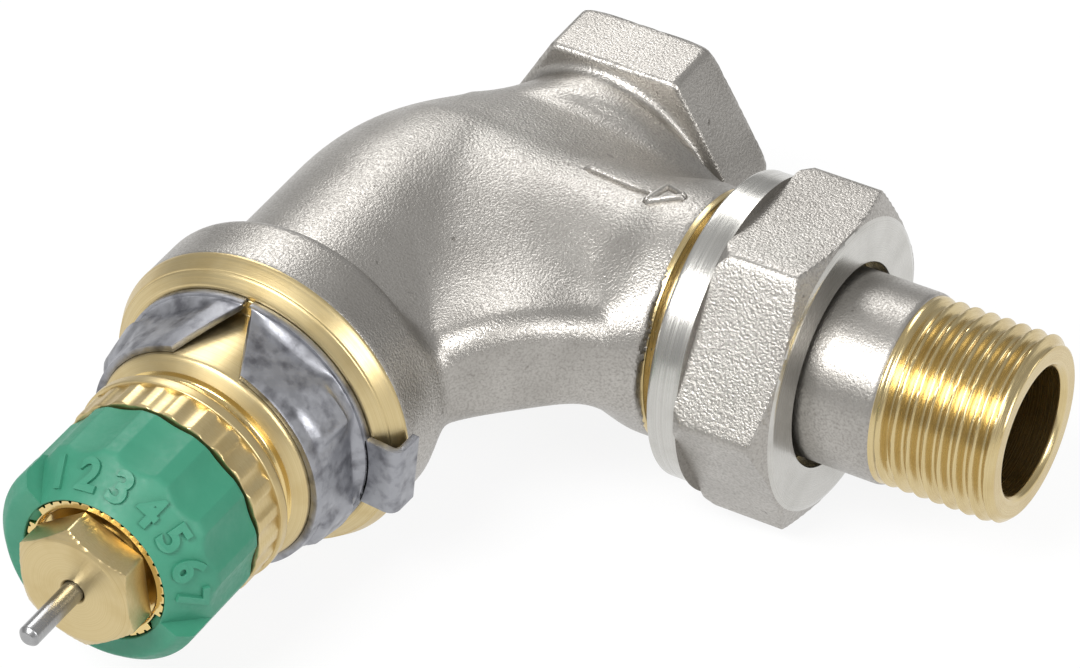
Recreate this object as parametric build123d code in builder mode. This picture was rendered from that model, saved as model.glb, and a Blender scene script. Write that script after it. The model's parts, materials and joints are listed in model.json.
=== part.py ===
"""Angled radiator valve with a built-in pressure regulator, as separate pieces.

Millimetres, +Z up. The origin is the centre of the inlet socket's mouth. The inlet axis is Y, the
union leaves along +X, and the head with its setting ring and pin points along -Y.
"""
import os
from math import cos, radians, sin, sqrt

from build123d import *

# Layout of the three axes, which share the plane Z = 0
INLET_DEPTH = 27.0          # inlet mouth to the union axis
HEAD_OFFSET = 11.6          # inlet axis to the head axis
HEX_CORNERS = 6

# Clearances
THREAD_CLEARANCE = 0.10     # radial, plain cylinders that stand for threads
RUN_CLEARANCE = 0.05        # radial, turned parts that slide or turn
SEAL_CLEARANCE = 0.03       # rubber ring to its groove and bore
FACE_GAP = 0.30             # axial, between faces of parts that move
SNAP_CLEARANCE = 0.10       # radial, moulded and sheet parts

# Body, measured along the head axis from the union axis
BARREL_RADIUS = 17.85
BARREL_BACK = 27.6
BARREL_FRONT = 38.0
BARREL_CONE_LENGTH = 1.7    # outer band of the machined end
BARREL_CONE_RADIAL = 0.8
BARREL_FACE_LENGTH = 1.0    # inner band
BARREL_FACE_RADIAL = 1.4
BARREL_BACK_ROUND = 1.6
BARREL_FILLET = 1.5
BARREL_FOOT_EDGES = 2       # the tube meets the barrel above and below the gusset
BARREL_BORE = 15.0
BARREL_FLOOR = 2.6           # wall behind the threaded bore
SEAL_BORE = 12.4
CHAMBER_RADIUS = 11.4
CHAMBER_BACK = -4.0
TUBE_RADIUS = 14.4
TUBE_RADIUS_AT_HEX = 13.6
BEND_START = 9.0
BEND_RADIUS = 43.0
BODY_SECTIONS = 10
PARTITION_BACK = -7.5
PARTITION_BORE = 7.5

# Inlet hexagon and its socket
INLET_HEX_FLATS = 27.0
INLET_HEX_LENGTH = 8.3
INLET_HEX_CHAMFER = 1.6
SOCKET_RADIUS = 9.3         # pipe thread 1/2, minor radius
SOCKET_DEPTH = 10.0
INLET_WAY_RADIUS = 8.0
INLET_WAY_END_RADIUS = 7.0

# Outlet branch, measured along the union axis from the head axis
BRANCH_RADIUS = 13.0
BRANCH_RIM_RADIUS = 14.2
BRANCH_RIM_START = 31.2
BRANCH_END = 34.0
BRANCH_FLARE = 4.0
BRANCH_ROUND = 7.0
SPIGOT_RADIUS = 13.1        # pipe thread 3/4 for the union nut
SPIGOT_END = 44.4
OUTLET_BORE = 7.5
OUTLET_START = 9.4
SEAT_MOUTH_RADIUS = 10.6
SEAT_CONE_DEPTH = 3.0

# Gusset in the corner between the barrel and the branch
GUSSET_HALF_HEIGHT = 6.5
GUSSET_ROUND = 4.2
GUSSET_FOOT_ON_BARREL = 17.6
GUSSET_FOOT_ON_BRANCH = 15.4
GUSSET_FOOT_ALONG_BRANCH = 30.6

# Union nut and tailpiece
NUT_FLATS = 33.2
NUT_CORNER_ANGLE = 3.0
NUT_BACK = 36.2
NUT_COLLAR_RADIUS = 17.3
NUT_COLLAR_LENGTH = 3.8
NUT_FRONT = 50.6
NUT_CHAMFER = 1.5
NUT_FACE_RADIUS = 15.9
NUT_LIP = 2.9
NUT_BORE_CLEARANCE = 0.8
TAIL_TUBE_RADIUS = 10.7
TAIL_THREAD_START = 58.6
TAIL_THREAD_RADIUS = 10.48  # taper pipe thread 1/2
TAIL_END = 73.2
TAIL_END_CHAMFER = 0.95
TAIL_BORE = 7.15
TAIL_BORE_CHAMFER = 0.5

# Insert housing: the brass top of the cartridge
HOUSING_NOSE_BACK = 21.0
HOUSING_WALL = 1.9
STEP_GAP = 0.2              # axial, between a step and the shoulder it stops at
NOSE_GAP = 1.0              # axial, seal bore past the nose
COLLAR_RADIUS = 12.9
COLLAR_FRONT = 47.0
COLLAR_CONE_LENGTH = 1.0
COLLAR_CONE_RADIAL = 1.4
NECK_RADIUS = 10.9
NECK_LENGTH = 0.7
NECK_SHOULDER = 0.3         # polished step beside the groove
RIM_CONE_LENGTH = 1.4
RIM_RADIUS = 12.6
RIM_LENGTH = 1.2
FLUTED_RADIUS = 12.35
FLUTED_FRONT = 55.2
FLUTE_COUNT_BRASS = 24
FLUTE_DEPTH_BRASS = 0.45
FLUTE_RADIUS_BRASS = 2.4
HOUSING_CEILING = 43.5
HOUSING_SEAL_INSET = 1.4
HOUSING_SEAL_WIDTH = 2.2
HOUSING_SEAL_DEPTH = 1.4

# Locking clip: formed sheet over the collar
CLIP_SHEET = 0.8
CLIP_FRONT = 46.6
CLIP_BACK_RADIUS = 14.95
CLIP_FRONT_RADIUS = 13.75
CLIP_RIM_RADIUS = 15.25
CLIP_CORNER_ANGLE = 32.0
CLIP_GAP_ANGLE = 87.0
CLIP_GAP_BACK = 2.4
CLIP_GAP_FRONT = 8.2
TAB_ANGLE = -6.0
TAB_WIDTH = 8.6
TAB_LIP = 3.8

# Setting ring and sleeve
RING_RADIUS = 12.15
RING_SHOULDER = 66.2
RING_FRONT = 67.6
RING_FRONT_CHAMFER = 1.3    # radial, at the raised part of the front
RING_BORE = 8.5
SCALE_BACK = 62.8           # foot of the sunk cone that carries the numbers
SCALE_FROM = -25.0
SCALE_SECTOR = 160.0
RING_WALL = 1.45
RING_HOLLOW_FRONT = 62.6
RING_FLUTES = 12
RING_FLUTE_ANGLE = 77.0
RING_FLUTE_DEPTH = 0.6
RING_FLUTE_RADIUS = 6.0
RING_KEYS = 2
RING_KEY_WIDTH = 2.0
RING_KEY_HEIGHT = 0.7
RING_FACE_LAND = 0.15
RING_KEY_ANGLE = 150.0
SLEEVE_FRONT = 67.4
SLEEVE_FLANGE_GAP = 0.5     # radial, to the hollow of the ring
SLEEVE_FLANGE_LENGTH = 1.4
SLEEVE_STEM_RADIUS = 6.5
SLEEVE_STEM_BACK = 38.6
SLEEVE_BORE = 2.3
SLEEVE_RIM = 1.2
SLEEVE_RECESS_BACK = 64.0
SLEEVE_RECESS_CHAMFER = 0.4
SLEEVE_TEETH = 40
SLEEVE_TOOTH_DEPTH = 0.45
SLEEVE_TOOTH_GAP = 0.5
SLEEVE_TEETH_BACK = 60.0
SLEEVE_SEAL_FROM = 47.0
SLEEVE_SEAL_WIDTH = 1.9
SLEEVE_SEAL_DEPTH = 1.2
CIRCLIP_INSET = 0.4         # axial, to the ceiling of the housing
CIRCLIP_THICKNESS = 1.0
CIRCLIP_DEPTH = 0.7
CIRCLIP_RADIUS = 8.6
CIRCLIP_GAP = 4.0

# Gland and pin
GLAND_FLATS = 13.0
GLAND_CORNER_ANGLE = 35.0
GLAND_FRONT = 71.5
GLAND_CHAMFER = 0.8
GLAND_SHANK_RADIUS = 4.95
GLAND_SHANK_BACK = 57.6
GLAND_SEAL_RADIUS = 2.9
GLAND_SEAL_DEPTH = 3.0
GLAND_WASHER = 0.9
PIN_RADIUS = 1.2
PIN_FRONT = 79.8
PIN_BACK = 44.6
PIN_TIP_CHAMFER = 0.45
PIN_TRAVEL = 2.5

# Spindle, return spring and disc
SPINDLE_RADIUS = 2.0
SPINDLE_FLANGE_RADIUS = 5.6
SPINDLE_FLANGE_FRONT = 35.6
SPINDLE_FLANGE_LENGTH = 1.2
HOLDER_RADIUS = 6.2
HOLDER_LENGTH = 3.6
DISC_RADIUS = 5.4
DISC_LENGTH = 2.2
DISC_PROUD = 0.7
SPRING_COIL_RADIUS = 4.2
SPRING_WIRE_RADIUS = 0.4
SPRING_TURNS = 4.5

# Throttle cylinder with its guide, turned by the sleeve
THROTTLE_RADIUS = 8.4
THROTTLE_WALL = 1.3
THROTTLE_BACK = 14.8
THROTTLE_TOP = 2.4
THROTTLE_PORT_FROM = 15.8
THROTTLE_PORT_LENGTH = 6.0
THROTTLE_PORT_WIDTH = 8.0
DRIVE_LUGS = 2
DRIVE_LUG_WIDTH = 2.4
DRIVE_LUG_LENGTH = 1.8
DRIVE_LUG_RADIUS = 4.6
GUIDE_FROM = 24.4
GUIDE_LENGTH = 1.8

# Cage, seat and pressure regulator at the foot of the cartridge
CAGE_GAP = 0.7              # radial, to the chamber
CAGE_SPIGOT_WALL = 0.9
CAGE_SPIGOT_LENGTH = 5.0
CAGE_BACK = 11.4
CAGE_WINDOWS = 4
CAGE_WINDOW_FROM = 15.4
CAGE_WINDOW_LENGTH = 5.0
CAGE_WINDOW_WIDTH = 9.0
SEAT_PLATE_LENGTH = 1.6
SEAT_HOLE_RADIUS = 3.6
SEAT_LIP = 0.9
SEAT_LIP_RADIUS = 4.6
REGULATOR_STEP = 1.1        # radial, cage to regulator
REGULATOR_WALL = 1.3
REGULATOR_FLOOR = 1.6
REGULATOR_INLET = 3.4
REGULATOR_SEAL_INSET = 0.8
REGULATOR_SEAL_WIDTH = 1.7
REGULATOR_SEAL_DEPTH = 1.1
REGULATOR_PORTS = 4
REGULATOR_PORT_FROM = 2.0
REGULATOR_PORT_LENGTH = 4.0
REGULATOR_PORT_WIDTH = 3.4
DIAPHRAGM_THICKNESS = 0.8
DIAPHRAGM_HOLE = 2.0
PISTON_RADIUS = 6.6
PISTON_FLANGE = 1.4
PISTON_STEM_RADIUS = 3.0
PISTON_TRAVEL = 1.5
CONTROL_COIL_RADIUS = 5.2
CONTROL_WIRE_RADIUS = 0.45
CONTROL_TURNS = 5.0

# Sizes that follow from the ones above
HEX_FACTOR = 1 / cos(radians(30.0))
HEX_BACK = -INLET_DEPTH
HEX_FRONT = HEX_BACK + INLET_HEX_LENGTH
BODY_TUBE_FRONT = (BARREL_BACK + BARREL_FRONT) / 2
BARREL_FACE_BACK = BARREL_FRONT - BARREL_FACE_LENGTH
GUSSET_SLOPE = (GUSSET_FOOT_ALONG_BRANCH - GUSSET_FOOT_ON_BARREL) / (BARREL_BACK - GUSSET_FOOT_ON_BRANCH)
GUSSET_FOOT_IN_BARREL = GUSSET_FOOT_ON_BARREL - GUSSET_SLOPE * (BODY_TUBE_FRONT - BARREL_BACK)
BARREL_BORE_BACK = BARREL_BACK + BARREL_FLOOR
SEAL_BORE_BACK = HOUSING_NOSE_BACK - NOSE_GAP
HOUSING_NOSE_RADIUS = SEAL_BORE - THREAD_CLEARANCE
HOUSING_SEAL_FROM = HOUSING_NOSE_BACK + HOUSING_SEAL_INSET
HOUSING_THREAD_RADIUS = BARREL_BORE - THREAD_CLEARANCE
HOUSING_THREAD_BACK = BARREL_BORE_BACK + STEP_GAP
HOUSING_CAVITY = COLLAR_RADIUS - HOUSING_WALL
COLLAR_CONE_FRONT = COLLAR_FRONT + COLLAR_CONE_LENGTH
NECK_BACK = COLLAR_CONE_FRONT + NECK_SHOULDER
NECK_FRONT = NECK_BACK + NECK_LENGTH
RIM_BACK = NECK_FRONT + RIM_CONE_LENGTH
RIM_FRONT = RIM_BACK + RIM_LENGTH
CLIP_BACK = BARREL_FRONT + SNAP_CLEARANCE
CLIP_INNER_FLATS = 2 * (COLLAR_RADIUS + SNAP_CLEARANCE)
CLIP_FLATS = CLIP_INNER_FLATS + 2 * CLIP_SHEET
CLIP_GAP_DIRECTION = (cos(radians(CLIP_GAP_ANGLE)), 0, sin(radians(CLIP_GAP_ANGLE)))
TAB_OUTER_RADIUS = BARREL_RADIUS + SNAP_CLEARANCE + CLIP_SHEET
NUT_THREAD_RADIUS = SPIGOT_RADIUS + THREAD_CLEARANCE
TAIL_FLANGE_RADIUS = NUT_THREAD_RADIUS - FACE_GAP
NUT_BORE = TAIL_TUBE_RADIUS + NUT_BORE_CLEARANCE
NUT_LIP_BACK = NUT_FRONT - NUT_LIP
NUT_HEX_BACK = NUT_BACK + NUT_COLLAR_LENGTH
NUT_CORNER_RADIUS = NUT_FLATS / 2 * HEX_FACTOR
SEAT_CONE_BACK = SPIGOT_END - SEAT_CONE_DEPTH
TAIL_NOSE_BACK = SEAT_CONE_BACK + FACE_GAP
TAIL_FLANGE_BACK = SPIGOT_END + FACE_GAP
TAIL_FLANGE_FRONT = NUT_LIP_BACK - THREAD_CLEARANCE
SLEEVE_STEM_BORE = SLEEVE_STEM_RADIUS + RUN_CLEARANCE
CIRCLIP_FROM = HOUSING_CEILING - CIRCLIP_INSET - CIRCLIP_THICKNESS
RING_BACK = FLUTED_FRONT + FACE_GAP
RING_HOLLOW_RADIUS = RING_RADIUS - RING_WALL
SLEEVE_RADIUS = RING_BORE - SNAP_CLEARANCE
SLEEVE_FLANGE_RADIUS = RING_HOLLOW_RADIUS - SLEEVE_FLANGE_GAP
SLEEVE_RECESS_RADIUS = SLEEVE_RADIUS - SLEEVE_RIM
SLEEVE_FLANGE_BACK = FLUTED_FRONT + FACE_GAP
SLEEVE_FLANGE_FRONT = SLEEVE_FLANGE_BACK + SLEEVE_FLANGE_LENGTH
GLAND_THREAD_RADIUS = GLAND_SHANK_RADIUS + THREAD_CLEARANCE
GLAND_HEX_BACK = SLEEVE_FRONT + THREAD_CLEARANCE
PIN_BORE = PIN_RADIUS + RUN_CLEARANCE
SPINDLE_BORE = SPINDLE_RADIUS + SNAP_CLEARANCE
THROTTLE_FRONT = SLEEVE_STEM_BACK
THROTTLE_BORE = THROTTLE_RADIUS - THROTTLE_WALL
CAGE_RADIUS = CHAMBER_RADIUS - CAGE_GAP
CAGE_BORE = THROTTLE_RADIUS + SNAP_CLEARANCE
CAGE_SPIGOT_RADIUS = CAGE_BORE + CAGE_SPIGOT_WALL
NOSE_BORE = CAGE_SPIGOT_RADIUS + RUN_CLEARANCE
SEAT_PLATE_FROM = CAGE_BACK
SEAT_PLATE_FRONT = SEAT_PLATE_FROM + SEAT_PLATE_LENGTH
HOLDER_BACK = SEAT_PLATE_FRONT + SEAT_LIP + FACE_GAP + PIN_TRAVEL + DISC_PROUD
HOLDER_FRONT = HOLDER_BACK + HOLDER_LENGTH
SPRING_FROM = GUIDE_FROM + GUIDE_LENGTH
SPRING_TO = SPINDLE_FLANGE_FRONT - SPINDLE_FLANGE_LENGTH
DIAPHRAGM_FRONT = CAGE_BACK
DIAPHRAGM_BACK = DIAPHRAGM_FRONT - DIAPHRAGM_THICKNESS
REGULATOR_RADIUS = CAGE_RADIUS - REGULATOR_STEP
REGULATOR_SPIGOT_RADIUS = PARTITION_BORE - THREAD_CLEARANCE
REGULATOR_SPIGOT_BACK = PARTITION_BACK + STEP_GAP
REGULATOR_SEAL_FROM = REGULATOR_SPIGOT_BACK + REGULATOR_SEAL_INSET
REGULATOR_FLOOR_BACK = CHAMBER_BACK + FACE_GAP
REGULATOR_FLOOR_FRONT = REGULATOR_FLOOR_BACK + REGULATOR_FLOOR
REGULATOR_BORE = REGULATOR_RADIUS - REGULATOR_WALL
PISTON_FRONT = DIAPHRAGM_BACK
PISTON_STEM_BACK = REGULATOR_FLOOR_FRONT + PISTON_TRAVEL + FACE_GAP
PISTON_FLANGE_BACK = PISTON_FRONT - PISTON_FLANGE

# Head axis: local x is +X, local y is +Z and local z runs outwards along the head
CROSSING = (-HEAD_OFFSET, -INLET_DEPTH, 0)
HEAD_PLANE = Plane(origin=CROSSING, x_dir=(1, 0, 0), z_dir=(0, -1, 0))
HEAD_SECTION = Plane(origin=CROSSING, x_dir=(0, -1, 0), z_dir=(0, 0, 1))
HEAD_AXIS = Axis(origin=CROSSING, direction=(0, -1, 0))

# Inlet axis, parallel to the head axis and measured from the same plane
INLET_SECTION = Plane(origin=(0, -INLET_DEPTH, 0), x_dir=(0, -1, 0), z_dir=(0, 0, 1))
INLET_AXIS = Axis(origin=(0, -INLET_DEPTH, 0), direction=(0, -1, 0))

# Union axis: local x is -Y, local y is +Z and local z runs outwards along the union
UNION_PLANE = Plane(origin=CROSSING, x_dir=(0, -1, 0), z_dir=(1, 0, 0))
UNION_SECTION = Plane(origin=CROSSING, x_dir=(1, 0, 0), z_dir=(0, -1, 0))
UNION_AXIS = Axis(origin=CROSSING, direction=(1, 0, 0))

# Half plane through the head axis where the sunk scale begins
SCALE_SIDE = (-sin(radians(SCALE_FROM)), 0, cos(radians(SCALE_FROM)))
SCALE_SECTION = Plane(origin=CROSSING, x_dir=(0, -1, 0), z_dir=SCALE_SIDE)

# Middle of the gusset's slanting rim
GUSSET_MIDDLE = HEAD_SECTION.from_local_coords((
    (BARREL_BACK + GUSSET_FOOT_ON_BRANCH) / 2,
    (GUSSET_FOOT_ON_BARREL + GUSSET_FOOT_ALONG_BRANCH) / 2,
    0,
))


def bend_shift(station):
    """Sideways place of the body tube's centre, on an arc that starts at BEND_START."""
    along = max(BEND_START - station, 0.0)
    return BEND_RADIUS - sqrt(BEND_RADIUS**2 - along**2)


def tube_radius_at(station):
    """Radius of the body tube, easing to its size at the inlet hexagon."""
    share = max(BEND_START - station, 0.0) / (BEND_START - HEX_FRONT)
    return TUBE_RADIUS + (TUBE_RADIUS_AT_HEX - TUBE_RADIUS) * share


def turned(section, axis, points):
    """One turned piece from its half section, given as (along, radius) points."""
    with BuildPart() as piece:
        with BuildSketch(section):
            with BuildLine():
                Polyline(*points, close=True)
            make_face()
        revolve(axis=axis)
    return piece.part


def washer(back, front, inner, outer):
    """One flat ring or bush on the head axis."""
    return turned(HEAD_SECTION, HEAD_AXIS, [(back, inner), (back, outer), (front, outer), (front, inner)])


def rubber_ring(start, width, inner, outer):
    """One rubber ring that fills its groove but for the seal clearance."""
    with BuildPart() as ring:
        with BuildSketch(HEAD_SECTION):
            with Locations((start + width / 2, (inner + outer) / 2)):
                Circle((outer - inner) / 2 - SEAL_CLEARANCE)
        revolve(axis=HEAD_AXIS)
    return ring.part


def coil(start, end, coil_radius, wire_radius, turns):
    """One coil spring between two faces, clear of both by half the face gap."""
    foot = start + wire_radius + FACE_GAP / 2
    length = end - start - 2 * wire_radius - FACE_GAP
    with BuildPart() as spring:
        with BuildLine():
            path = Helix(pitch=length / turns, height=length, radius=coil_radius,
                         center=HEAD_PLANE.offset(foot).origin, direction=HEAD_PLANE.z_dir)
        with BuildSketch(Plane(origin=path @ 0, z_dir=path % 0)):
            Circle(wire_radius)
        sweep(path=path, is_frenet=True)
    return spring.part


def write(piece, name):
    """Label one piece and write it to its own file."""
    piece.label = name
    export_step(piece, f"parts/{name}.step")


os.makedirs("parts", exist_ok=True)

# Inlet hexagon, chamfered at its mouth
with BuildPart() as inlet_hexagon:
    with BuildSketch(HEAD_PLANE.offset(HEX_BACK)):
        with Locations((HEAD_OFFSET, 0)):
            RegularPolygon(INLET_HEX_FLATS / 2, HEX_CORNERS, major_radius=False)
    extrude(amount=INLET_HEX_LENGTH)
    with BuildSketch(INLET_SECTION):
        with BuildLine():
            Polyline(
                (HEX_BACK, 0),
                (HEX_BACK, INLET_HEX_FLATS / 2 - INLET_HEX_CHAMFER / 4),
                (HEX_BACK + INLET_HEX_CHAMFER, INLET_HEX_FLATS / 2 * HEX_FACTOR),
                (HEX_FRONT, INLET_HEX_FLATS / 2 * HEX_FACTOR),
                (HEX_FRONT, 0),
                close=True,
            )
        make_face()
    revolve(axis=INLET_AXIS, mode=Mode.INTERSECT)

# Gusset plate with rounded rims
with BuildPart() as gusset:
    with BuildSketch(HEAD_SECTION.offset(-GUSSET_HALF_HEIGHT)):
        with BuildLine():
            Polyline(
                (0, 0),
                (0, GUSSET_FOOT_ALONG_BRANCH),
                (GUSSET_FOOT_ON_BRANCH, GUSSET_FOOT_ALONG_BRANCH),
                (BODY_TUBE_FRONT, GUSSET_FOOT_IN_BARREL),
                (BODY_TUBE_FRONT, 0),
                close=True,
            )
        make_face()
    extrude(amount=2 * GUSSET_HALF_HEIGHT)
    slant = gusset.faces().filter_by(Axis.Z, reverse=True).sort_by_distance(GUSSET_MIDDLE)[0]
    fillet(slant.edges().filter_by(Axis.Z, reverse=True), GUSSET_ROUND)

# Valve body: barrel, bent tube, inlet hexagon, branch, spigot and gusset in one casting
with BuildPart() as valve_body:
    for index in range(BODY_SECTIONS):
        station = BODY_TUBE_FRONT + (HEX_FRONT - BODY_TUBE_FRONT) * index / (BODY_SECTIONS - 1)
        with BuildSketch(HEAD_PLANE.offset(station).rotated((0, 0, 180))):
            with Locations((-bend_shift(station), 0)):
                Circle(tube_radius_at(station))
    loft()
    with BuildSketch(UNION_SECTION):
        with BuildLine():
            Polyline(
                (0, 0),
                (0, BRANCH_RADIUS),
                (BRANCH_RIM_START - BRANCH_FLARE, BRANCH_RADIUS),
                (BRANCH_RIM_START, BRANCH_RIM_RADIUS),
                (BRANCH_END, BRANCH_RIM_RADIUS),
                (BRANCH_END, 0),
                close=True,
            )
        make_face()
    revolve(axis=UNION_AXIS)
    crossing_edge = valve_body.edges().filter_by(GeomType.BSPLINE).sort_by(Axis.Z)[0]
    fillet(crossing_edge, BRANCH_ROUND)
    add(gusset.part)
    with BuildSketch(HEAD_SECTION) as barrel_section:
        with BuildLine():
            Polyline(
                (BARREL_BACK, 0),
                (BARREL_BACK, BARREL_RADIUS),
                (BARREL_FACE_BACK - BARREL_CONE_LENGTH, BARREL_RADIUS),
                (BARREL_FACE_BACK, BARREL_RADIUS - BARREL_CONE_RADIAL),
                (BARREL_FRONT, BARREL_RADIUS - BARREL_CONE_RADIAL - BARREL_FACE_RADIAL),
                (BARREL_FRONT, 0),
                close=True,
            )
        make_face()
        shoulder = barrel_section.vertices().sort_by_distance((BARREL_BACK, BARREL_RADIUS))[0]
        fillet(shoulder, BARREL_BACK_ROUND)
    revolve(axis=HEAD_AXIS)
    # Cast fillet behind the barrel, above and below the gusset
    barrel_foot = valve_body.faces().filter_by(Axis.Y).sort_by(Axis.Y)[1]
    foot_edges = barrel_foot.edges().filter_by(GeomType.BSPLINE).sort_by(SortBy.LENGTH)[-BARREL_FOOT_EDGES:]
    fillet(foot_edges, BARREL_FILLET)
    with BuildSketch(UNION_PLANE.offset(BRANCH_END)):
        Circle(SPIGOT_RADIUS)
    extrude(amount=SPIGOT_END - BRANCH_END)
    add(inlet_hexagon.part)
    # Stepped bore for the cartridge
    with BuildSketch(HEAD_SECTION):
        with BuildLine():
            Polyline(
                (BARREL_FRONT, 0),
                (BARREL_FRONT, BARREL_BORE),
                (BARREL_BORE_BACK, BARREL_BORE),
                (BARREL_BORE_BACK, SEAL_BORE),
                (SEAL_BORE_BACK, SEAL_BORE),
                (SEAL_BORE_BACK, CHAMBER_RADIUS),
                (CHAMBER_BACK, CHAMBER_RADIUS),
                (CHAMBER_BACK, PARTITION_BORE),
                (PARTITION_BACK, PARTITION_BORE),
                (PARTITION_BACK, 0),
                close=True,
            )
        make_face()
    revolve(axis=HEAD_AXIS, mode=Mode.SUBTRACT)
    # Outlet way with the cone seat for the tailpiece
    with BuildSketch(UNION_SECTION):
        with BuildLine():
            Polyline(
                (OUTLET_START, 0),
                (OUTLET_START, OUTLET_BORE),
                (SEAT_CONE_BACK, OUTLET_BORE),
                (SPIGOT_END, SEAT_MOUTH_RADIUS),
                (SPIGOT_END, 0),
                close=True,
            )
        make_face()
    revolve(axis=UNION_AXIS, mode=Mode.SUBTRACT)
    # Inlet socket, and the slanting way from it to the partition
    with BuildSketch(HEAD_PLANE.offset(HEX_BACK)):
        with Locations((HEAD_OFFSET, 0)):
            Circle(SOCKET_RADIUS)
    extrude(amount=SOCKET_DEPTH, mode=Mode.SUBTRACT)
    with BuildSketch(HEAD_PLANE.offset(HEX_BACK + SOCKET_DEPTH)):
        with Locations((HEAD_OFFSET, 0)):
            Circle(INLET_WAY_RADIUS)
    with BuildSketch(HEAD_PLANE.offset(PARTITION_BACK)):
        Circle(INLET_WAY_END_RADIUS)
    loft(mode=Mode.SUBTRACT)
write(valve_body.part, "valve_body")

# Union nut: hexagon with a round collar, and a lip that draws the tailpiece in
with BuildPart() as union_nut:
    with BuildSketch(UNION_PLANE.offset(NUT_HEX_BACK)):
        RegularPolygon(NUT_FLATS / 2, HEX_CORNERS, major_radius=False, rotation=NUT_CORNER_ANGLE)
    extrude(amount=NUT_FRONT - NUT_HEX_BACK)
    with BuildSketch(UNION_SECTION):
        with BuildLine():
            Polyline(
                (NUT_HEX_BACK, 0),
                (NUT_HEX_BACK, NUT_CORNER_RADIUS - NUT_CHAMFER / 2),
                (NUT_HEX_BACK + NUT_CHAMFER, NUT_CORNER_RADIUS),
                (NUT_FRONT - NUT_CHAMFER, NUT_CORNER_RADIUS),
                (NUT_FRONT, NUT_FACE_RADIUS),
                (NUT_FRONT, 0),
                close=True,
            )
        make_face()
    revolve(axis=UNION_AXIS, mode=Mode.INTERSECT)
    with BuildSketch(UNION_PLANE.offset(NUT_BACK)):
        Circle(NUT_COLLAR_RADIUS)
    extrude(amount=NUT_COLLAR_LENGTH)
    with BuildSketch(UNION_SECTION):
        with BuildLine():
            Polyline(
                (NUT_BACK, 0),
                (NUT_BACK, NUT_THREAD_RADIUS),
                (NUT_LIP_BACK, NUT_THREAD_RADIUS),
                (NUT_LIP_BACK, NUT_BORE),
                (NUT_FRONT, NUT_BORE),
                (NUT_FRONT, 0),
                close=True,
            )
        make_face()
    revolve(axis=UNION_AXIS, mode=Mode.SUBTRACT)
write(union_nut.part, "union_nut")

# Tailpiece: cone nose, flange behind the nut's lip, tube and thread
with BuildPart() as tailpiece:
    with BuildSketch(UNION_SECTION):
        with BuildLine():
            Polyline(
                (TAIL_NOSE_BACK, TAIL_BORE),
                (TAIL_NOSE_BACK, OUTLET_BORE),
                (TAIL_FLANGE_BACK, SEAT_MOUTH_RADIUS),
                (TAIL_FLANGE_BACK, TAIL_FLANGE_RADIUS),
                (TAIL_FLANGE_FRONT, TAIL_FLANGE_RADIUS),
                (TAIL_FLANGE_FRONT, TAIL_TUBE_RADIUS),
                (TAIL_THREAD_START, TAIL_TUBE_RADIUS),
                (TAIL_THREAD_START, TAIL_THREAD_RADIUS),
                (TAIL_END - TAIL_END_CHAMFER, TAIL_THREAD_RADIUS),
                (TAIL_END, TAIL_THREAD_RADIUS - TAIL_END_CHAMFER),
                (TAIL_END, TAIL_BORE + TAIL_BORE_CHAMFER),
                (TAIL_END - TAIL_BORE_CHAMFER, TAIL_BORE),
                close=True,
            )
        make_face()
    revolve(axis=UNION_AXIS)
write(tailpiece.part, "tailpiece")

# Insert housing: nose, thread, collar, groove for the head, and the fluted rim
with BuildPart() as insert_housing:
    with BuildSketch(HEAD_SECTION):
        with BuildLine():
            Polyline(
                (HOUSING_NOSE_BACK, NOSE_BORE),
                (HOUSING_NOSE_BACK, HOUSING_NOSE_RADIUS),
                (HOUSING_SEAL_FROM, HOUSING_NOSE_RADIUS),
                (HOUSING_SEAL_FROM, HOUSING_NOSE_RADIUS - HOUSING_SEAL_DEPTH),
                (HOUSING_SEAL_FROM + HOUSING_SEAL_WIDTH, HOUSING_NOSE_RADIUS - HOUSING_SEAL_DEPTH),
                (HOUSING_SEAL_FROM + HOUSING_SEAL_WIDTH, HOUSING_NOSE_RADIUS),
                (HOUSING_THREAD_BACK, HOUSING_NOSE_RADIUS),
                (HOUSING_THREAD_BACK, HOUSING_THREAD_RADIUS),
                (BARREL_FRONT, HOUSING_THREAD_RADIUS),
                (BARREL_FRONT, COLLAR_RADIUS),
                (COLLAR_FRONT, COLLAR_RADIUS),
                (COLLAR_CONE_FRONT, COLLAR_RADIUS - COLLAR_CONE_RADIAL),
                (NECK_BACK, NECK_RADIUS),
                (NECK_FRONT, NECK_RADIUS),
                (RIM_BACK, RIM_RADIUS),
                (RIM_FRONT, RIM_RADIUS),
                (RIM_FRONT, FLUTED_RADIUS),
                (FLUTED_FRONT, FLUTED_RADIUS),
                (FLUTED_FRONT, SLEEVE_STEM_BORE),
                (HOUSING_CEILING, SLEEVE_STEM_BORE),
                (HOUSING_CEILING, HOUSING_CAVITY),
                (HOUSING_THREAD_BACK, HOUSING_CAVITY),
                (HOUSING_THREAD_BACK, NOSE_BORE),
                close=True,
            )
        make_face()
    revolve(axis=HEAD_AXIS)
    with BuildSketch(HEAD_PLANE.offset(FLUTED_FRONT)):
        with PolarLocations(FLUTED_RADIUS + FLUTE_RADIUS_BRASS - FLUTE_DEPTH_BRASS, FLUTE_COUNT_BRASS):
            Circle(FLUTE_RADIUS_BRASS)
    extrude(amount=RIM_FRONT - FLUTED_FRONT, mode=Mode.SUBTRACT)
write(insert_housing.part, "insert_housing")

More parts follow.
